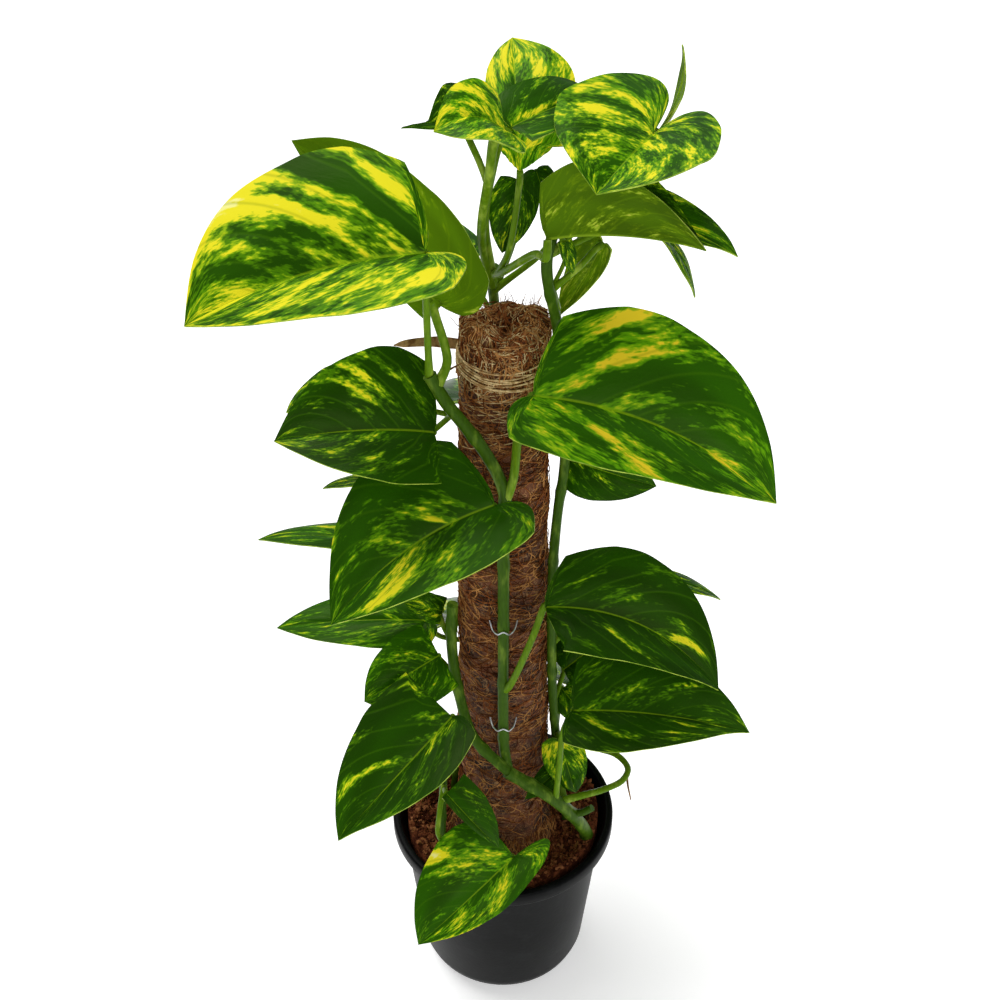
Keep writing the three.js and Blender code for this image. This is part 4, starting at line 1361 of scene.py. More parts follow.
@dataclass(frozen=True)
class Vine:
    """A climbing plant's stems and roots. Its petioles are in the leaves' table."""

    name: str
    stems: tuple[Stem, ...]
    roots: tuple[tuple[Point, ...], ...] = ()
    node_spacing: float = 46

    def stem_strand(self, stem: Stem) -> Strand:
        """A stem with a swollen ring at each node.

        Args:
            stem: The stem.

        Returns:
            What to sweep.
        """
        path = smooth_path(stem.path, STEM_SPACING)
        radii = []
        run = 0.0
        for place, after in zip(path, [*path[1:], path[-1]]):
            phase = (run % self.node_spacing) / self.node_spacing
            swell = NODE_SWELL * swelling(phase, NODE_PLACE, NODE_LENGTH)
            radii.append(stem.radius * (0.97 + swell + 0.03 * noise.noise(place / 9)))
            run += (after - place).length
        return Strand(path, radii, 0)

    def petiole_strand(self, leaf: Leaf) -> Strand:
        """A petiole that is thicker where it clasps the stem and where it meets the blade.

        Args:
            leaf: The leaf that it carries.

        Returns:
            What to sweep.
        """
        path = leaf.petiole_path()
        last = len(path) - 1
        radii = []
        for index in range(len(path)):
            share = index / last
            clasp = CLASP_SWELL * swelling(share, 0, CLASP_LENGTH)
            elbow = ELBOW_SWELL * swelling(share, ELBOW_PLACE, ELBOW_LENGTH)
            radii.append(leaf.stalk * (0.92 + clasp + elbow))
        return Strand(path, radii, 1)

    def root_strand(self, points: tuple[Point, ...]) -> Strand:
        """A short root that tapers to its end.

        Args:
            points: The points it goes through.

        Returns:
            What to sweep.
        """
        path = smooth_path(points, ROOT_SPACING)
        last = len(path) - 1
        return Strand(path, [ROOT_RADIUS * (1 - 0.6 * index / last) for index in range(len(path))], 2)

    def build(self, leaves: Sequence[Leaf], finishes: Finishes) -> bpy.types.Object:
        """Builds the vine with its petioles and roots.

        Args:
            leaves: All leaves, of which it takes its own.
            finishes: The materials.

        Returns:
            The piece.
        """
        strands = [self.stem_strand(stem) for stem in self.stems]
        strands += [self.petiole_strand(leaf) for leaf in leaves if leaf.vine == self.name]
        strands += [self.root_strand(root) for root in self.roots]
        materials = [
            finishes.mottled("stem", STEM),
            finishes.mottled("petiole", PETIOLE),
            finishes.mottled("root", ROOT),
        ]
        piece = strands_object(f"{self.name}_stems", strands, materials, 3)
        return dress(piece, Slot.STEM, self.name)


VINES = (
    Vine(
        "vine_main",
        (
            Stem(
                OLD_STEM_RADIUS,
                (
                    (46, -14, 72), (55, -17, 100), (56.5, -19, 128), (51.5, -33, 160), (33, -45, 199),
                    (2.4, -45, 226),
                ),
            ),
            Stem(
                STEM_RADIUS,
                ((4, -45, 225), (-18, -37, 248), (-27, -26, 275), (-31, -17, 305), (-30, -16, 340)),
            ),
            Stem(
                STEM_RADIUS,
                (
                    (3, -43, 225), (0.5, -35, 238), (0, -33.6, 256), (0, -32.3, 336), (0, -31, 400),
                    (0, -31, 436), (-10, -31, 462), (-19, -31, 477), (-30, -31, 494), (-38, -30, 510),
                ),
            ),
            Stem(2.5, ((43, -39, 180), (50, -41, 182), (57, -42, 188))),
        ),
        (
            ((-36, -29, 506), (-28, -21, 507.5), (-21.5, -15.5, 508)),
            ((-29.3, -21, 290), (-36, -23, 281), (-40, -25, 279)),
            ((79, -31, 209), (79.5, -34, 202), (82, -37, 190)),
        ),
    ),
    Vine(
        "vine_right",
        (
            Stem(
                SIDE_STEM_RADIUS,
                (
                    (42, 2, 72), (43, 0, 130), (38, -3, 170), (34.5, -5, 212), (31, -8.5, 260),
                    (29, -11, 322), (29, -12, 375), (31, -6, 403), (34, -2, 432), (33, -3, 470),
                    (30, -9, 505), (27, -13, 530), (21, -24, 575), (33, -10, 604),
                ),
            ),
        ),
    ),
    Vine(
        "vine_back",
        (
            Stem(
                SIDE_STEM_RADIUS,
                (
                    (2, 44, 72), (1, 43, 130), (0, 35.5, 200), (0, 33, 300), (-2, 31, 450), (-5, 31, 515),
                    (-6, 27, 532), (-5, 23, 543),
                ),
            ),
        ),
    ),
    Vine(
        "vine_left",
        (
            Stem(
                SIDE_STEM_RADIUS - 0.5,
                (
                    (-34, 28, 72), (-34, 28, 130), (-26, 24, 180), (-22, 22, 260), (-21, 20.5, 340),
                    (-20, 20, 430), (-21.5, 20.5, 500),
                ),
            ),
        ),
    ),
    Vine(
        "vine_pot_front",
        (
            Stem(
                SIDE_STEM_RADIUS - 0.5,
                ((-36, -38, 72), (-40, -43, 128), (-39.5, -49, 164), (-38, -43, 205), (-37, -40, 224)),
            ),
        ),
    ),
)


# Pot and soil


@dataclass
class Pot:
    """The nursery pot."""

    segments: int = 144
    slot_length: float = 16
    slot_depth: float = 12

    def profile(self) -> list[Pair]:
        """The pot's section.

        Returns:
            Radius and height of its points, from the floor's middle outwards and up, and back inside.
        """
        under_rim = POT_HEIGHT - RIM_HEIGHT
        body_top = MOUTH_RADIUS - 2
        inner_base = BODY_BASE_RADIUS - POT_WALL
        return [
            (0, 0),
            (FOOT_RADIUS - 6, 0),
            (FOOT_RADIUS - 0.5, 0),
            (FOOT_RADIUS, 0.5),
            (FOOT_RADIUS + 1, FOOT_HEIGHT - 0.5),
            (FOOT_RADIUS + 1.8, FOOT_HEIGHT + 0.2),
            (BODY_BASE_RADIUS - 7, FOOT_HEIGHT + 2),
            (BODY_BASE_RADIUS - 4, FOOT_HEIGHT + 5),
            (BODY_BASE_RADIUS - 2, BODY_BASE_HEIGHT - 6),
            (BODY_BASE_RADIUS - 0.6, BODY_BASE_HEIGHT - 2),
            (BODY_BASE_RADIUS, BODY_BASE_HEIGHT),
            (mix(BODY_BASE_RADIUS, body_top, 0.5), mix(BODY_BASE_HEIGHT, under_rim, 0.5)),
            (body_top - 0.3, under_rim - 3),
            (body_top, under_rim - 0.5),
            (body_top + 0.5, under_rim),
            (RIM_RADIUS - 1.6, under_rim),
            (RIM_RADIUS - 0.6, under_rim + 0.4),
            (RIM_RADIUS, under_rim + 1.6),
            (RIM_RADIUS, POT_HEIGHT - 2),
            (RIM_RADIUS - 0.4, POT_HEIGHT - 0.8),
            (RIM_RADIUS - 1.6, POT_HEIGHT),
            (MOUTH_RADIUS + 1.1, POT_HEIGHT),
            (MOUTH_RADIUS + 0.3, POT_HEIGHT - 0.3),
            (MOUTH_RADIUS, POT_HEIGHT - 1.1),
            (body_top - POT_WALL, under_rim - 2),
            (inner_base, BODY_BASE_HEIGHT + 1),
            (inner_base - 3, FOOT_HEIGHT + 8),
            (inner_base - 8, FOOT_HEIGHT + 4),
            (FOOT_RADIUS - 1.5, FOOT_HEIGHT + 3),
            (FOOT_RADIUS - 2.5, POT_WALL),
            (0, POT_WALL),
        ]

    def slots(self) -> bpy.types.Object:
        """Makes the blocks that cut the drain slots.

        Returns:
            The blocks as one object.
        """
        bm = bmesh.new()
        for slot in range(DRAIN_SLOTS):
            turn = 2 * math.pi * slot / DRAIN_SLOTS
            size = Matrix.Diagonal(
                (self.slot_depth * MM, self.slot_length * MM, (2 * FOOT_HEIGHT - 2) * MM, 1)
            )
            place = Matrix.Rotation(turn, 4, "Z") @ Matrix.Translation((FOOT_RADIUS * MM, 0, 0)) @ size
            bmesh.ops.create_cube(bm, size=1, matrix=place)
        return object_of("slots", bm, [])

    def build(self, finishes: Finishes) -> bpy.types.Object:
        """Builds the pot with its drain slots.

        Args:
            finishes: The materials.

        Returns:
            The piece.
        """
        turned = lathe(self.profile(), self.segments)
        pot = object_of("pot_shell", turned, [finishes.mottled("pot", POT_PLASTIC)])
        cutter = self.slots()
        cut = pot.modifiers.new("slots", "BOOLEAN")
        cut.operation = "DIFFERENCE"
        cut.solver = "EXACT"
        cut.object = cutter
        pot = finished(pot)
        bpy.data.objects.remove(cutter)
        pot.data.set_sharp_from_angle(angle=math.radians(50))
        return dress(pot, Slot.POT, "pot")


@dataclass
class Soil:
    """The peat in the pot: a plug with an uneven top, loose chunks and a few fibres.

    bank says how high the peat is banked up at the pot's wall, and bank_width from how far inside.
    """

    chunks: int = 3600
    chunk_sizes: tuple[float, ...] = (0.7, 0.9, 1.2, 1.6, 2.2)
    fibres: int = 160
    fibre_radius: float = 0.18
    segments: int = 160
    rings: int = 30
    bank: float = 11
    bank_width: float = 22

    def top(self, x: float, y: float) -> float:
        """Height of the soil's surface."""
        return SOIL_LEVEL + 1.4 * math.sin(x / 5 + y / 9) + 1.2 * math.sin(y / 4 - x / 7)

    def heap(self, reach: float) -> float:
        """How far the peat is banked up towards the wall."""
        edge = self.plug_radius(SOIL_LEVEL)
        return self.bank * ease(edge - self.bank_width, edge, reach)

    def plug_radius(self, height: float) -> float:
        """How wide the pot is inside.

        Args:
            height: Height above the floor that it stands on.

        Returns:
            The radius that the peat has there.
        """
        under_rim = POT_HEIGHT - RIM_HEIGHT - 2
        share = (height - BODY_BASE_HEIGHT) / (under_rim - BODY_BASE_HEIGHT)
        return mix(BODY_BASE_RADIUS, MOUTH_RADIUS - 2, share) - POT_WALL - 2 * GAP

    def plug(self, finishes: Finishes) -> bpy.types.Object:
        """Builds the plug.

        Args:
            finishes: The materials.

        Returns:
            The piece.
        """
        bore = SLEEVE_BASE_RADIUS - 1 + 1.5 * GAP
        edge = self.plug_radius(SOIL_LEVEL) - 0.3
        profile = [
            (bore, POLE_BOTTOM - GAP),
            (0, POLE_BOTTOM - GAP),
            (0, POT_WALL + GAP),
            (FOOT_RADIUS - 4, POT_WALL + GAP),
            (FOOT_RADIUS - 3, FOOT_HEIGHT + 4),
            (BODY_BASE_RADIUS - 12, FOOT_HEIGHT + 6),
            (BODY_BASE_RADIUS - 6.5, FOOT_HEIGHT + 9),
            (self.plug_radius(BODY_BASE_HEIGHT) - 1, BODY_BASE_HEIGHT + 2),
            (self.plug_radius(SOIL_LEVEL - 2), SOIL_LEVEL - 2),
        ]
        profile += [(mix(edge, bore, ring / self.rings), SOIL_LEVEL) for ring in range(self.rings + 1)]
        profile.append(profile[0])
        bm = lathe(profile, self.segments)
        for vertex in bm.verts:
            x, y, z = vertex.co / MM
            if z < SOIL_LEVEL - 1 or math.hypot(x, y) < SKIRT_RADIUS + 2:
                continue
            crumb = 1.1 * noise.noise(Vector((x, y, 0)) / 3.1) + 0.5 * noise.noise(Vector((x, y, 9)) / 1.3)
            vertex.co.z = (self.top(x, y) + crumb + self.heap(math.hypot(x, y))) * MM
        piece = object_of("soil_plug", bm, [finishes.mottled("peat", PEAT)])
        return dress(piece, Slot.SOIL, "soil")

    def litter(self, finishes: Finishes) -> bpy.types.Object:
        """Scatters chunks of peat over the plug.

        Args:
            finishes: The materials.

        Returns:
            The piece.
        """
        dice = random.Random(11)
        # Without a seed the vector noise differs from run to run
        noise.seed_set(11)
        bm = bmesh.new()
        edge = self.plug_radius(SOIL_LEVEL) - 1.2
        for _ in range(self.chunks):
            turn = dice.uniform(0, 2 * math.pi)
            reach = math.sqrt(dice.uniform((SKIRT_RADIUS - 1) ** 2, edge**2))
            x = reach * math.cos(turn)
            y = reach * math.sin(turn)
            size = dice.choice(self.chunk_sizes)
            stretch = [size * dice.uniform(low, high) for low, high in ((0.7, 1.7), (0.6, 1.0), (0.4, 0.8))]
            spin = Euler([dice.uniform(-0.6, 0.6), dice.uniform(-0.6, 0.6), dice.uniform(0, 6.3)])
            place = Matrix.Translation(Vector((x, y, self.top(x, y) + 0.5 + self.heap(reach))) * MM)
            turned = place @ spin.to_matrix().to_4x4()
            shape = Matrix.Diagonal((*(side * MM for side in stretch), 1))
            made = bmesh.ops.create_icosphere(bm, subdivisions=1, radius=1, matrix=turned @ shape)
            for vertex in made["verts"]:
                vertex.co += 0.3 * size * MM * noise.noise_vector(vertex.co / MM)
        faces_each = len(bm.faces) // self.chunks
        for face in bm.faces:
            face.material_index = (face.index // faces_each) % 2
        materials = [finishes.mottled("peat", PEAT), finishes.mottled("peat_chunk", PEAT_CHUNK)]
        piece = object_of("soil_chunks", bm, materials)
        piece.data.shade_flat()
        return dress(piece, Slot.SOIL)

    def strands(self, finishes: Finishes) -> bpy.types.Object:
        """Lays a few loose fibres on the soil.

        Args:
            finishes: The materials.

        Returns:
            The piece.
        """
        dice = random.Random(12)
        edge = self.plug_radius(SOIL_LEVEL) - 6
        strands = []
        for _ in range(self.fibres):
            turn = dice.uniform(0, 2 * math.pi)
            reach = dice.uniform(SKIRT_RADIUS + 1, edge)
            spot = Vector((reach * math.cos(turn), reach * math.sin(turn), 0))
            heading = dice.uniform(0, 2 * math.pi)
            path = []
            for _ in range(7):
                spot.z = self.top(spot.x, spot.y) + self.heap(spot.xy.length) + 1.4 + dice.uniform(-0.3, 0.5)
                if spot.xy.length < edge + 2:
                    path.append(spot.copy())
                heading += dice.uniform(-0.6, 0.6)
                spot += Vector((math.cos(heading), math.sin(heading), 0)) * 1.5
            if len(path) > 2:
                strands.append(Strand(path, [self.fibre_radius] * len(path)))
        piece = strands_object("soil_fibres", strands, [finishes.mottled("fibre", FIBRE)], 0)
        return dress(piece, Slot.SOIL)

    def build(self, finishes: Finishes) -> list[bpy.types.Object]:
        """Builds the plug and what lies on it."""
        return [self.plug(finishes), self.litter(finishes), self.strands(finishes)]


# Coir pole


def around(radius: float, turn: float, height: float) -> Vector:
    """A point at a distance from the pole's axis, an angle round it and a height."""
    return Vector((radius * math.cos(turn), radius * math.sin(turn), height))


def sleeve_radius(height: float) -> float:
    """The sleeve's even radius at a height."""
    share = (height - SOIL_LEVEL - SKIRT_HEIGHT) / (POLE_TOP - SOIL_LEVEL - SKIRT_HEIGHT)
    return mix(SLEEVE_BASE_RADIUS, SLEEVE_TOP_RADIUS, share)


def lump(turn: float, height: float) -> float:
    """How far the fibre swells out or in."""
    return SLEEVE_LUMPS * (0.6 * math.sin(3 * turn + height / 9) + 0.4 * math.sin(5 * turn - height / 6))


def on_sleeve(height: float, radius: float) -> float:
    """Distance from the axis at which something of that radius lies clear of the sleeve."""
    return sleeve_radius(height) + SLEEVE_LUMPS + GAP + radius


def skirt_radius(height: float) -> float:
    """The pole's outer radius, with the skirt at its foot.

    Args:
        height: Height above the floor.

    Returns:
        The radius there.
    """
    above = height - SOIL_LEVEL - 2 * GAP
    rings = (
        (0, SKIRT_RADIUS),
        (8, SKIRT_RADIUS - 2),
        (18, SLEEVE_BASE_RADIUS + 1.5),
        (SKIRT_HEIGHT, SLEEVE_BASE_RADIUS),
    )
    for (low, wide), (high, narrow) in zip(rings, rings[1:]):
        if above < high:
            return mix(wide, narrow, (above - low) / (high - low))
    return sleeve_radius(height)


def ragged(turn: float) -> float:
    """How far the pole's top edge stands above its even height."""
    return 2.5 * math.sin(2 * turn + 1) + 1.5 * math.sin(5 * turn)


@dataclass
class Pole:
    """The coir pole: felted sleeve, loose fibres, twine and pins.

    Above straw_and_lit_level some of the wound fibres are pale, more of them towards the top: partly the
    straw that is wound there, partly painted light on the pole's head. The twine starts at twine_top and
    comes down by twine_fall.
    """

    segments: int = 132
    rings: int = 210
    fibres: int = 2700
    fibre_radii: tuple[float, ...] = (0.17, 0.22, 0.3)
    fibre_loops: tuple[float, ...] = (0.3, 0.5, 0.8, 1.6)
    windings: int = 1100
    winding_stride: float = 2.6
    straw_and_lit_level: float = 440
    head_fibres: int = 900
    long_radii: tuple[float, ...] = (0.18, 0.25, 0.34)
    top_fibres: int = 110
    top_radii: tuple[float, ...] = (0.2, 0.2, 0.19, 0.18, 0.16, 0.14, 0.1)
    skirt_fibres: int = 260
    skirt_fibre_radius: float = 0.22
    twine_turns: float = 2.5
    twine_straws: int = 5
    twine_stations: int = 150
    twine_top: float = 512
    twine_fall: float = 16
    straw_radii: tuple[float, ...] = (0.3, 0.4, 0.5)
    wire_radius: float = 0.5
    prong_spread: float = 8

    def sleeve(self, finishes: Finishes) -> bpy.types.Object:
        """Builds the felted sleeve.

        Args:
            finishes: The materials.

        Returns:
            The piece.
        """
        skirt_foot = SOIL_LEVEL + 2 * GAP
        profile = [
            (CORE_RADIUS + GAP, POLE_BOTTOM),
            (SLEEVE_BASE_RADIUS - 1, POLE_BOTTOM),
            (SLEEVE_BASE_RADIUS - 1, skirt_foot),
        ]
        for ring in range(self.rings + 1):
            height = mix(skirt_foot, POLE_TOP - 5, ring / self.rings)
            profile.append((skirt_radius(height), height))
        rim = ((-1, -3), (-3, 0), (-5, 0), (-7.5, -0.6))
        profile += [(SLEEVE_TOP_RADIUS + inwards, POLE_TOP + down) for inwards, down in rim]
        profile += [
            (CORE_RADIUS + 2, POLE_TOP - 2),
            (CORE_RADIUS + 1, POLE_TOP - 8),
            (CORE_RADIUS + GAP, POLE_TOP - CORE_RECESS),
            (CORE_RADIUS + GAP, POLE_BOTTOM),
        ]
        bm = lathe(profile, self.segments)
        for vertex in bm.verts:
            spot = vertex.co / MM
            radius = spot.xy.length
            if spot.z < skirt_foot + 1 or radius < CORE_RADIUS + 0.9:
                continue
            turn = math.atan2(spot.y, spot.x)
            tuft = 0.7 * noise.noise(spot / 6) + 0.45 * noise.noise(spot / 2.2) + 0.25 * noise.noise(spot)
            swell = (radius + lump(turn, spot.z) + tuft) / radius
            vertex.co.x *= swell
            vertex.co.y *= swell
            if spot.z > POLE_TOP - 4:
                vertex.co.z += (ragged(turn) + 0.8 * tuft) * MM
        return dress(object_of("coir_felt", bm, [finishes.felted()]), Slot.COIR, "coir_sleeve")

    def fibre(
        self, dice: random.Random, turn: float, height: float, steps: int, stride: float
    ) -> list[Vector]:
        """Wanders over the sleeve.

        Args:
            dice: Where the chances come from.
            turn: Angle round the pole at which it starts.
            height: Height at which it starts.
            steps: Number of points.
            stride: Distance between them.

        Returns:
            The fibre's points.
        """
        heading = dice.uniform(0, 2 * math.pi)
        bend = dice.uniform(-0.75, 0.75)
        lift = dice.uniform(0.1, 0.5)
        loop = dice.choice(self.fibre_loops)
        path = []
        for step in range(steps):
            rise = loop * math.sin(math.pi * step / (steps - 1))
            radius = skirt_radius(height) + lump(turn, height) + lift + rise
            path.append(around(radius, turn, height))
            turn += stride * math.cos(heading) / radius
            height = clamp(height + stride * math.sin(heading), SOIL_LEVEL + 1, POLE_TOP - 2)
            heading += bend + dice.uniform(-0.3, 0.3)
        return path

    def lying(self, dice: random.Random) -> list[Strand]:
        """Curled fibres that lie on the sleeve.

        Args:
            dice: Where the chances come from.

        Returns:
            The fibres.
        """
        strands = []
        for _ in range(self.fibres):
            turn = dice.uniform(0, 2 * math.pi)
            height = dice.uniform(SOIL_LEVEL + 4, POLE_TOP - 4)
            path = self.fibre(dice, turn, height, dice.choice((6, 7, 8)), dice.uniform(1.6, 3.6))
            thickness = dice.choice(self.fibre_radii)
            strands.append(Strand(path, [thickness] * len(path), dice.choice((0, 0, 1))))
        return strands

    def upright(self, dice: random.Random) -> list[Strand]:
        """Fibres that stand up from the sleeve's top edge.

        Args:
            dice: Where the chances come from.

        Returns:
            The fibres.
        """
        strands = []
        for _ in range(self.top_fibres):
            turn = dice.uniform(0, 2 * math.pi)
            radius = dice.uniform(CORE_RADIUS + 3, SLEEVE_TOP_RADIUS)
            spot = around(radius, turn, POLE_TOP + ragged(turn) - 3)
            lean_x = math.cos(turn) * dice.uniform(-0.5, 0.7)
            lean_y = math.sin(turn) * dice.uniform(-0.5, 0.7)
            lean = Vector((lean_x, lean_y, 1))
            path = []
            for _ in self.top_radii:
                path.append(spot.copy())
                lean += Vector([dice.uniform(-0.35, 0.35) for _ in range(3)])
                spot += lean.normalized() * dice.uniform(1.0, 2.4)
            strands.append(Strand(path, list(self.top_radii), dice.choice((0, 1))))
        return strands

    def spread_foot(self, dice: random.Random) -> list[Strand]:
        """Fibres that spread from the skirt over the soil.

        Args:
            dice: Where the chances come from.

        Returns:
            The fibres.
        """
        strands = []
        for _ in range(self.skirt_fibres):
            turn = dice.uniform(0, 2 * math.pi)
            foot = dice.uniform(0, 6)
            path = []
            reach = 0.0
            for step in range(6):
                height = SOIL_LEVEL + 16 - 2.6 * step
                path.append(around(skirt_radius(height) + 0.8 + reach, turn, height))
                turn += dice.uniform(-0.05, 0.05)
                reach += foot / 12
            strands.append(Strand(path, [self.skirt_fibre_radius] * len(path), dice.choice((0, 0, 1))))
        return strands

    def shades(self, finishes: Finishes) -> list[bpy.types.Material]:
        """The fibres' shades: usual, dark and straw."""
        shades = (("fibre", FIBRE), ("fibre_dark", FIBRE_DARK), ("straw", STRAW))
        return [finishes.mottled(name, finish) for name, finish in shades]

    def loose(self, finishes: Finishes) -> bpy.types.Object:
        """Builds the fibres that lie on the sleeve, stand up from its top and spread at its foot.

        Args:
            finishes: The materials.

        Returns:
            The piece.
        """
        dice = random.Random(21)
        strands = self.lying(dice)
        strands += self.upright(dice)
        strands += self.spread_foot(dice)
        return dress(strands_object("coir_fibres", strands, self.shades(finishes), 0), Slot.COIR)

    def wound(self, finishes: Finishes) -> bpy.types.Object:
        """Builds the longer fibres that are wound round the pole, most of them towards its head.

        Args:
            finishes: The materials.

        Returns:
            The piece.
        """
        dice = random.Random(22)
        strands = []
        for _ in range(self.windings):
            turn = dice.uniform(0, 2 * math.pi)
            height = mix(SOIL_LEVEL + 8, POLE_TOP - 6, math.sqrt(dice.random()))
            slope = dice.uniform(-0.5, 0.5)
            arc = dice.uniform(-0.05, 0.05)
            path = []
            for _ in range(11):
                radius = skirt_radius(height) + lump(turn, height) + dice.uniform(0.5, 1.1)
                path.append(around(radius, turn, height))
                turn += self.winding_stride / radius
                height = clamp(height + self.winding_stride * slope, SOIL_LEVEL + 2, POLE_TOP - 3)
                slope += arc + dice.uniform(-0.08, 0.08)
            thickness = dice.choice(self.long_radii)
            # Painted light, with real straw: wound fibres turn pale more often towards the top, for the straw
            # wound there and for the light falling on the pole's head.
            pale = 0.7 * ease(self.straw_and_lit_level, POLE_TOP - 12, height)
            shade = 2 if dice.random() < pale else dice.choice((0, 1))
            strands.append(Strand(path, [thickness] * len(path), shade))
        return dress(strands_object("coir_windings", strands, self.shades(finishes), 0), Slot.COIR)

    def head(self, finishes: Finishes) -> bpy.types.Object:
        """Builds the tangle of curled fibres over the pole's top edge and the rim of its hollow.

        Args:
            finishes: The materials.

        Returns:
            The piece.
        """
        dice = random.Random(23)
        strands = []
        for _ in range(self.head_fibres):
            turn = dice.uniform(0, 2 * math.pi)
            heading = dice.uniform(0, 2 * math.pi)
            bend = dice.choice((-1, 1)) * dice.uniform(0.1, 0.4)
            spot = around(SLEEVE_TOP_RADIUS + dice.uniform(-13, 12), turn, 0)
            lift = dice.uniform(0.2, 1.6)
            path = []
            for _ in range(10):
                path.append(self.over_edge(spot, lift))
                spot += Vector((math.cos(heading), math.sin(heading), 0)) * dice.uniform(1.5, 2.3)
                heading += bend + dice.uniform(-0.15, 0.15)
            thickness = dice.choice(self.long_radii)
            strands.append(Strand(path, [thickness] * len(path), dice.choice((0, 0, 1, 2))))
        return dress(strands_object("coir_head", strands, self.shades(finishes), 0), Slot.COIR)

    def over_edge(self, spot: Vector, lift: float) -> Vector:
        """Lays a point over the pole's head, on its top or down its side where it is past the edge.

        Args:
            spot: The point as seen from above.
            lift: How far it stays off the sleeve.

        Returns:
            The point on the head.
        """
        edge = SLEEVE_TOP_RADIUS - 1.5
        reach = max(spot.length, 4.5)
        turn = math.atan2(spot.y, spot.x)
        past = reach - edge
        if past > 0:
            height = POLE_TOP - 1.5 + ragged(turn) * (1 - ease(0, 4, past)) - past * 1.6
            radius = skirt_radius(height) + lump(turn, height) + lift
        else:
            height = POLE_TOP + ragged(turn) - 1.5 * ease(-3, 0, past) + lift
            height -= 7 * (1 - ease(5, CORE_RADIUS + 4, reach))
            radius = reach
        return around(radius, turn, height)

    def twine(self, finishes: Finishes) -> bpy.types.Object:
        """Winds a loose bundle of straws round the pole's head.

        Args:
            finishes: The materials.

        Returns:
            The piece.
        """
        dice = random.Random(31)
        strands = []
        for _ in range(self.twine_straws):
            aside = dice.uniform(-2.4, 2.4)
            sway = dice.uniform(0.5, 2)
            phase = dice.uniform(0, 2 * math.pi)
            path = []
            for station in range(self.twine_stations + 1):
                turn = 2 * math.pi * self.twine_turns * station / self.twine_stations
                height = self.twine_top - self.twine_fall * station / self.twine_stations + 2 * math.sin(turn)
                height += aside + sway * math.sin(1.7 * turn + phase)
                reach = on_sleeve(height, 0.6) + 0.5 * math.sin(2.3 * turn + phase)
                path.append(around(reach, turn, height))
            strands.append(Strand(path, [dice.choice(self.straw_radii)] * len(path)))
        piece = strands_object("twine_straws", strands, [finishes.mottled("straw", STRAW)], 1)
        return dress(piece, Slot.TWINE, "twine")

    def pin(self, name: str, stem_y: float, height: float, finishes: Finishes) -> bpy.types.Object:
        """Bends a wire pin round the climbing stem.

        Args:
            name: Name of the pin's node.
            stem_y: Where the stem's axis lies in depth.
            height: Height of the pin.
            finishes: The materials.

        Returns:
            The piece.
        """
        wire = self.wire_radius
        hug = STEM_RADIUS + GAP + 1.2 * wire
        prong = -math.sqrt(on_sleeve(height, 2 * wire) ** 2 - self.prong_spread**2)
        points = (
            (-self.prong_spread, prong, height + 1),
            (-6, stem_y - 1, height - 1),
            (-hug * 0.75, stem_y - hug * 0.75, height - 2),
            (0, stem_y - hug - 0.2, height + 1),
            (hug * 0.75, stem_y - hug * 0.75, height - 2),
            (6, stem_y - 1, height - 1),
            (self.prong_spread, prong, height + 1),
        )
        path = smooth_path(points, WIRE_SPACING)
        strand = Strand(path, [wire] * len(path))
        piece = strands_object(f"{name}_wire", [strand], [finishes.mottled("steel", STEEL)], 3)
        return dress(piece, Slot.WIRE, name)

    def build(self, finishes: Finishes) -> None:
        """Builds the pole and what is fixed to it.

        Args:
            finishes: The materials.
        """
        self.sleeve(finishes)
        self.loose(finishes)
        self.wound(finishes)
        self.head(finishes)
        self.twine(finishes)
        self.pin("wire_pin_upper", -32.3, 336, finishes)
        self.pin("wire_pin_lower", -33.6, 256, finishes)
        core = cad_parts["pole_core"]
        core.data.materials.clear()
        core.data.materials.append(finishes.mottled("core", CORE))


SHEATH_FORM = Leaf(
    "dry_sheath", "", base=(-24.5, 20.5, 497), tip=(-60, 24, 494), face=(0, -0.6, 0.8),
    half=(3, 3), lobe=(0, 0), full=(0.9, 0.9),
)


@dataclass(frozen=True)
class Sheath:
    """The dry sheath behind the crown: a small curled blade with lengthwise creases."""

    form: Leaf = SHEATH_FORM
    crease: float = 0.15

    def build(self, finishes: Finishes) -> bpy.types.Object:
        """Builds the sheath.

        Args:
            finishes: The materials.

        Returns:
            The piece.
        """
        bm = bmesh.new()
        bmesh.ops.create_grid(bm, x_segments=10, y_segments=40, size=1)
        for vertex in bm.verts:
            u = (vertex.co.y + 1) / 2
            w = -vertex.co.x
            crease = self.crease * math.sin(14 * w + 5 * u)
            vertex.co = (self.form.point(u, w) + self.form.axes[2] * crease) * MM
        bmesh.ops.remove_doubles(bm, verts=bm.verts, dist=WELD * MM)
        piece = object_of("dry_sheath_paper", bm, [finishes.mottled("paper", PAPER)])
        return dress(thickened(piece), Slot.SHEATH, "dry_sheath")


# Stage


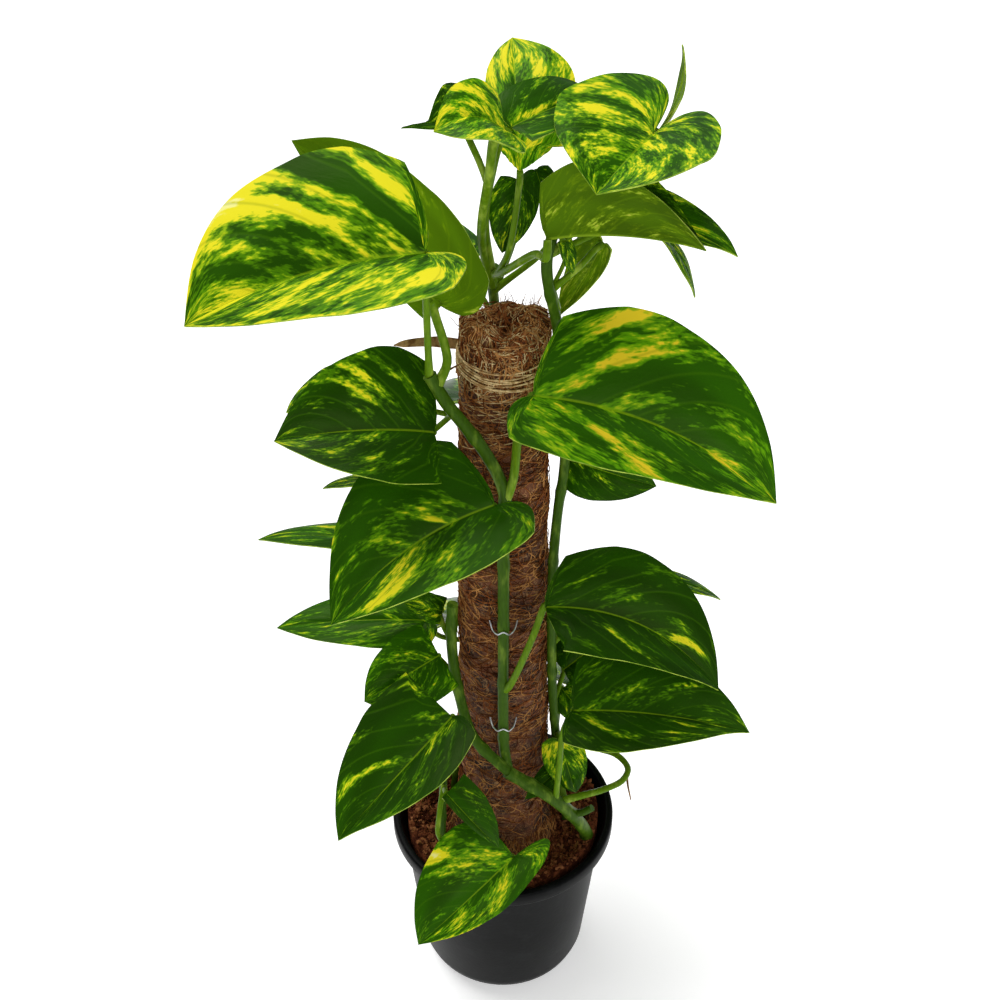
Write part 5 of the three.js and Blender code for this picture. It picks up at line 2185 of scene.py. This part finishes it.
@dataclass
class Studio:
    """Pale floor, soft light and the camera."""

    def floor(self) -> None:
        """Lays a pale floor."""
        bm = bmesh.new()
        bmesh.ops.create_grid(bm, x_segments=1, y_segments=1, size=FLOOR_SIZE / 2)
        material, graph, target = shader("floor")
        grain = graph.noise(graph.add("TexCoord", {}).outputs["Object"], 3.0, 2)
        shade = graph.blend(grain, colour("f4f4f4"), colour("fafafa"))
        graph.tree.links.new(shade, target.inputs["Base Color"])
        target.inputs["Roughness"].default_value = 0.9
        target.inputs["Specular IOR Level"].default_value = 0.0
        graph.tree.links.new(shade, target.inputs["Emission Color"])
        target.inputs["Emission Strength"].default_value = FLOOR_GLOW
        object_of("floor", bm, [material])

    def light(self, name: str, place: Point, aim: Point, size: float, power: float) -> None:
        """Hangs a soft square light.

        Args:
            name: Its name.
            place: Where it hangs.
            aim: Where it points.
            size: Its side in metres.
            power: Its power in watts.
        """
        lamp = bpy.data.lights.new(name, "AREA")
        lamp.shape = "SQUARE"
        lamp.size = size
        lamp.energy = power
        thing = linked(name, lamp)
        thing.location = place
        thing.rotation_euler = (Vector(aim) - Vector(place)).to_track_quat("-Z", "Y").to_euler()

    def sun(self) -> None:
        """Sets even light from above that stays soft over the whole floor."""
        lamp = bpy.data.lights.new("overhead", "SUN")
        lamp.energy = SUN_LIGHT
        lamp.angle = math.radians(SUN_SOFTNESS)
        thing = linked("overhead", lamp)
        thing.rotation_euler = (math.radians(SUN_TILT[0]), math.radians(SUN_TILT[1]), 0)

    def camera(self) -> None:
        """Sets the camera where the photo was taken from."""
        data = bpy.data.cameras.new("camera")
        data.lens = CAMERA_LENS
        data.sensor_width = SENSOR_WIDTH
        data.dof.use_dof = False
        thing = linked("camera", data)
        thing.location = CAMERA_PLACE
        thing.rotation_euler = (math.radians(CAMERA_PITCH), 0, 0)
        bpy.context.scene.camera = thing

    def world(self) -> None:
        """Fills the room with even white light."""
        world = bpy.data.worlds.new("studio")
        world.use_nodes = True
        world.node_tree.nodes["Background"].inputs[0].default_value = (1, 1, 1, 1)
        world.node_tree.nodes["Background"].inputs[1].default_value = WORLD_LIGHT
        bpy.context.scene.world = world

    def build(self) -> None:
        """Sets up everything round the object."""
        self.floor()
        self.world()
        self.sun()
        self.light("front", FRONT_LIGHT_PLACE, FRONT_LIGHT_AIM, FRONT_LIGHT_SIZE, FRONT_LIGHT_POWER)
        self.camera()
        bpy.context.scene.view_settings.view_transform = "Standard"


def main() -> None:
    """Builds the scene in order."""
    logging.basicConfig(level=logging.INFO, format="%(message)s")
    finishes = Finishes()
    Pot().build(finishes)
    Soil().build(finishes)
    Pole().build(finishes)
    Sheath().build(finishes)
    for vine in VINES:
        vine.build(LEAVES, finishes)
    blades = Blades(finishes)
    for leaf in LEAVES:
        blades.build(leaf, MARKINGS.get(leaf.name, PLAIN))
    Studio().build()


if __name__ == "__main__":
    main()
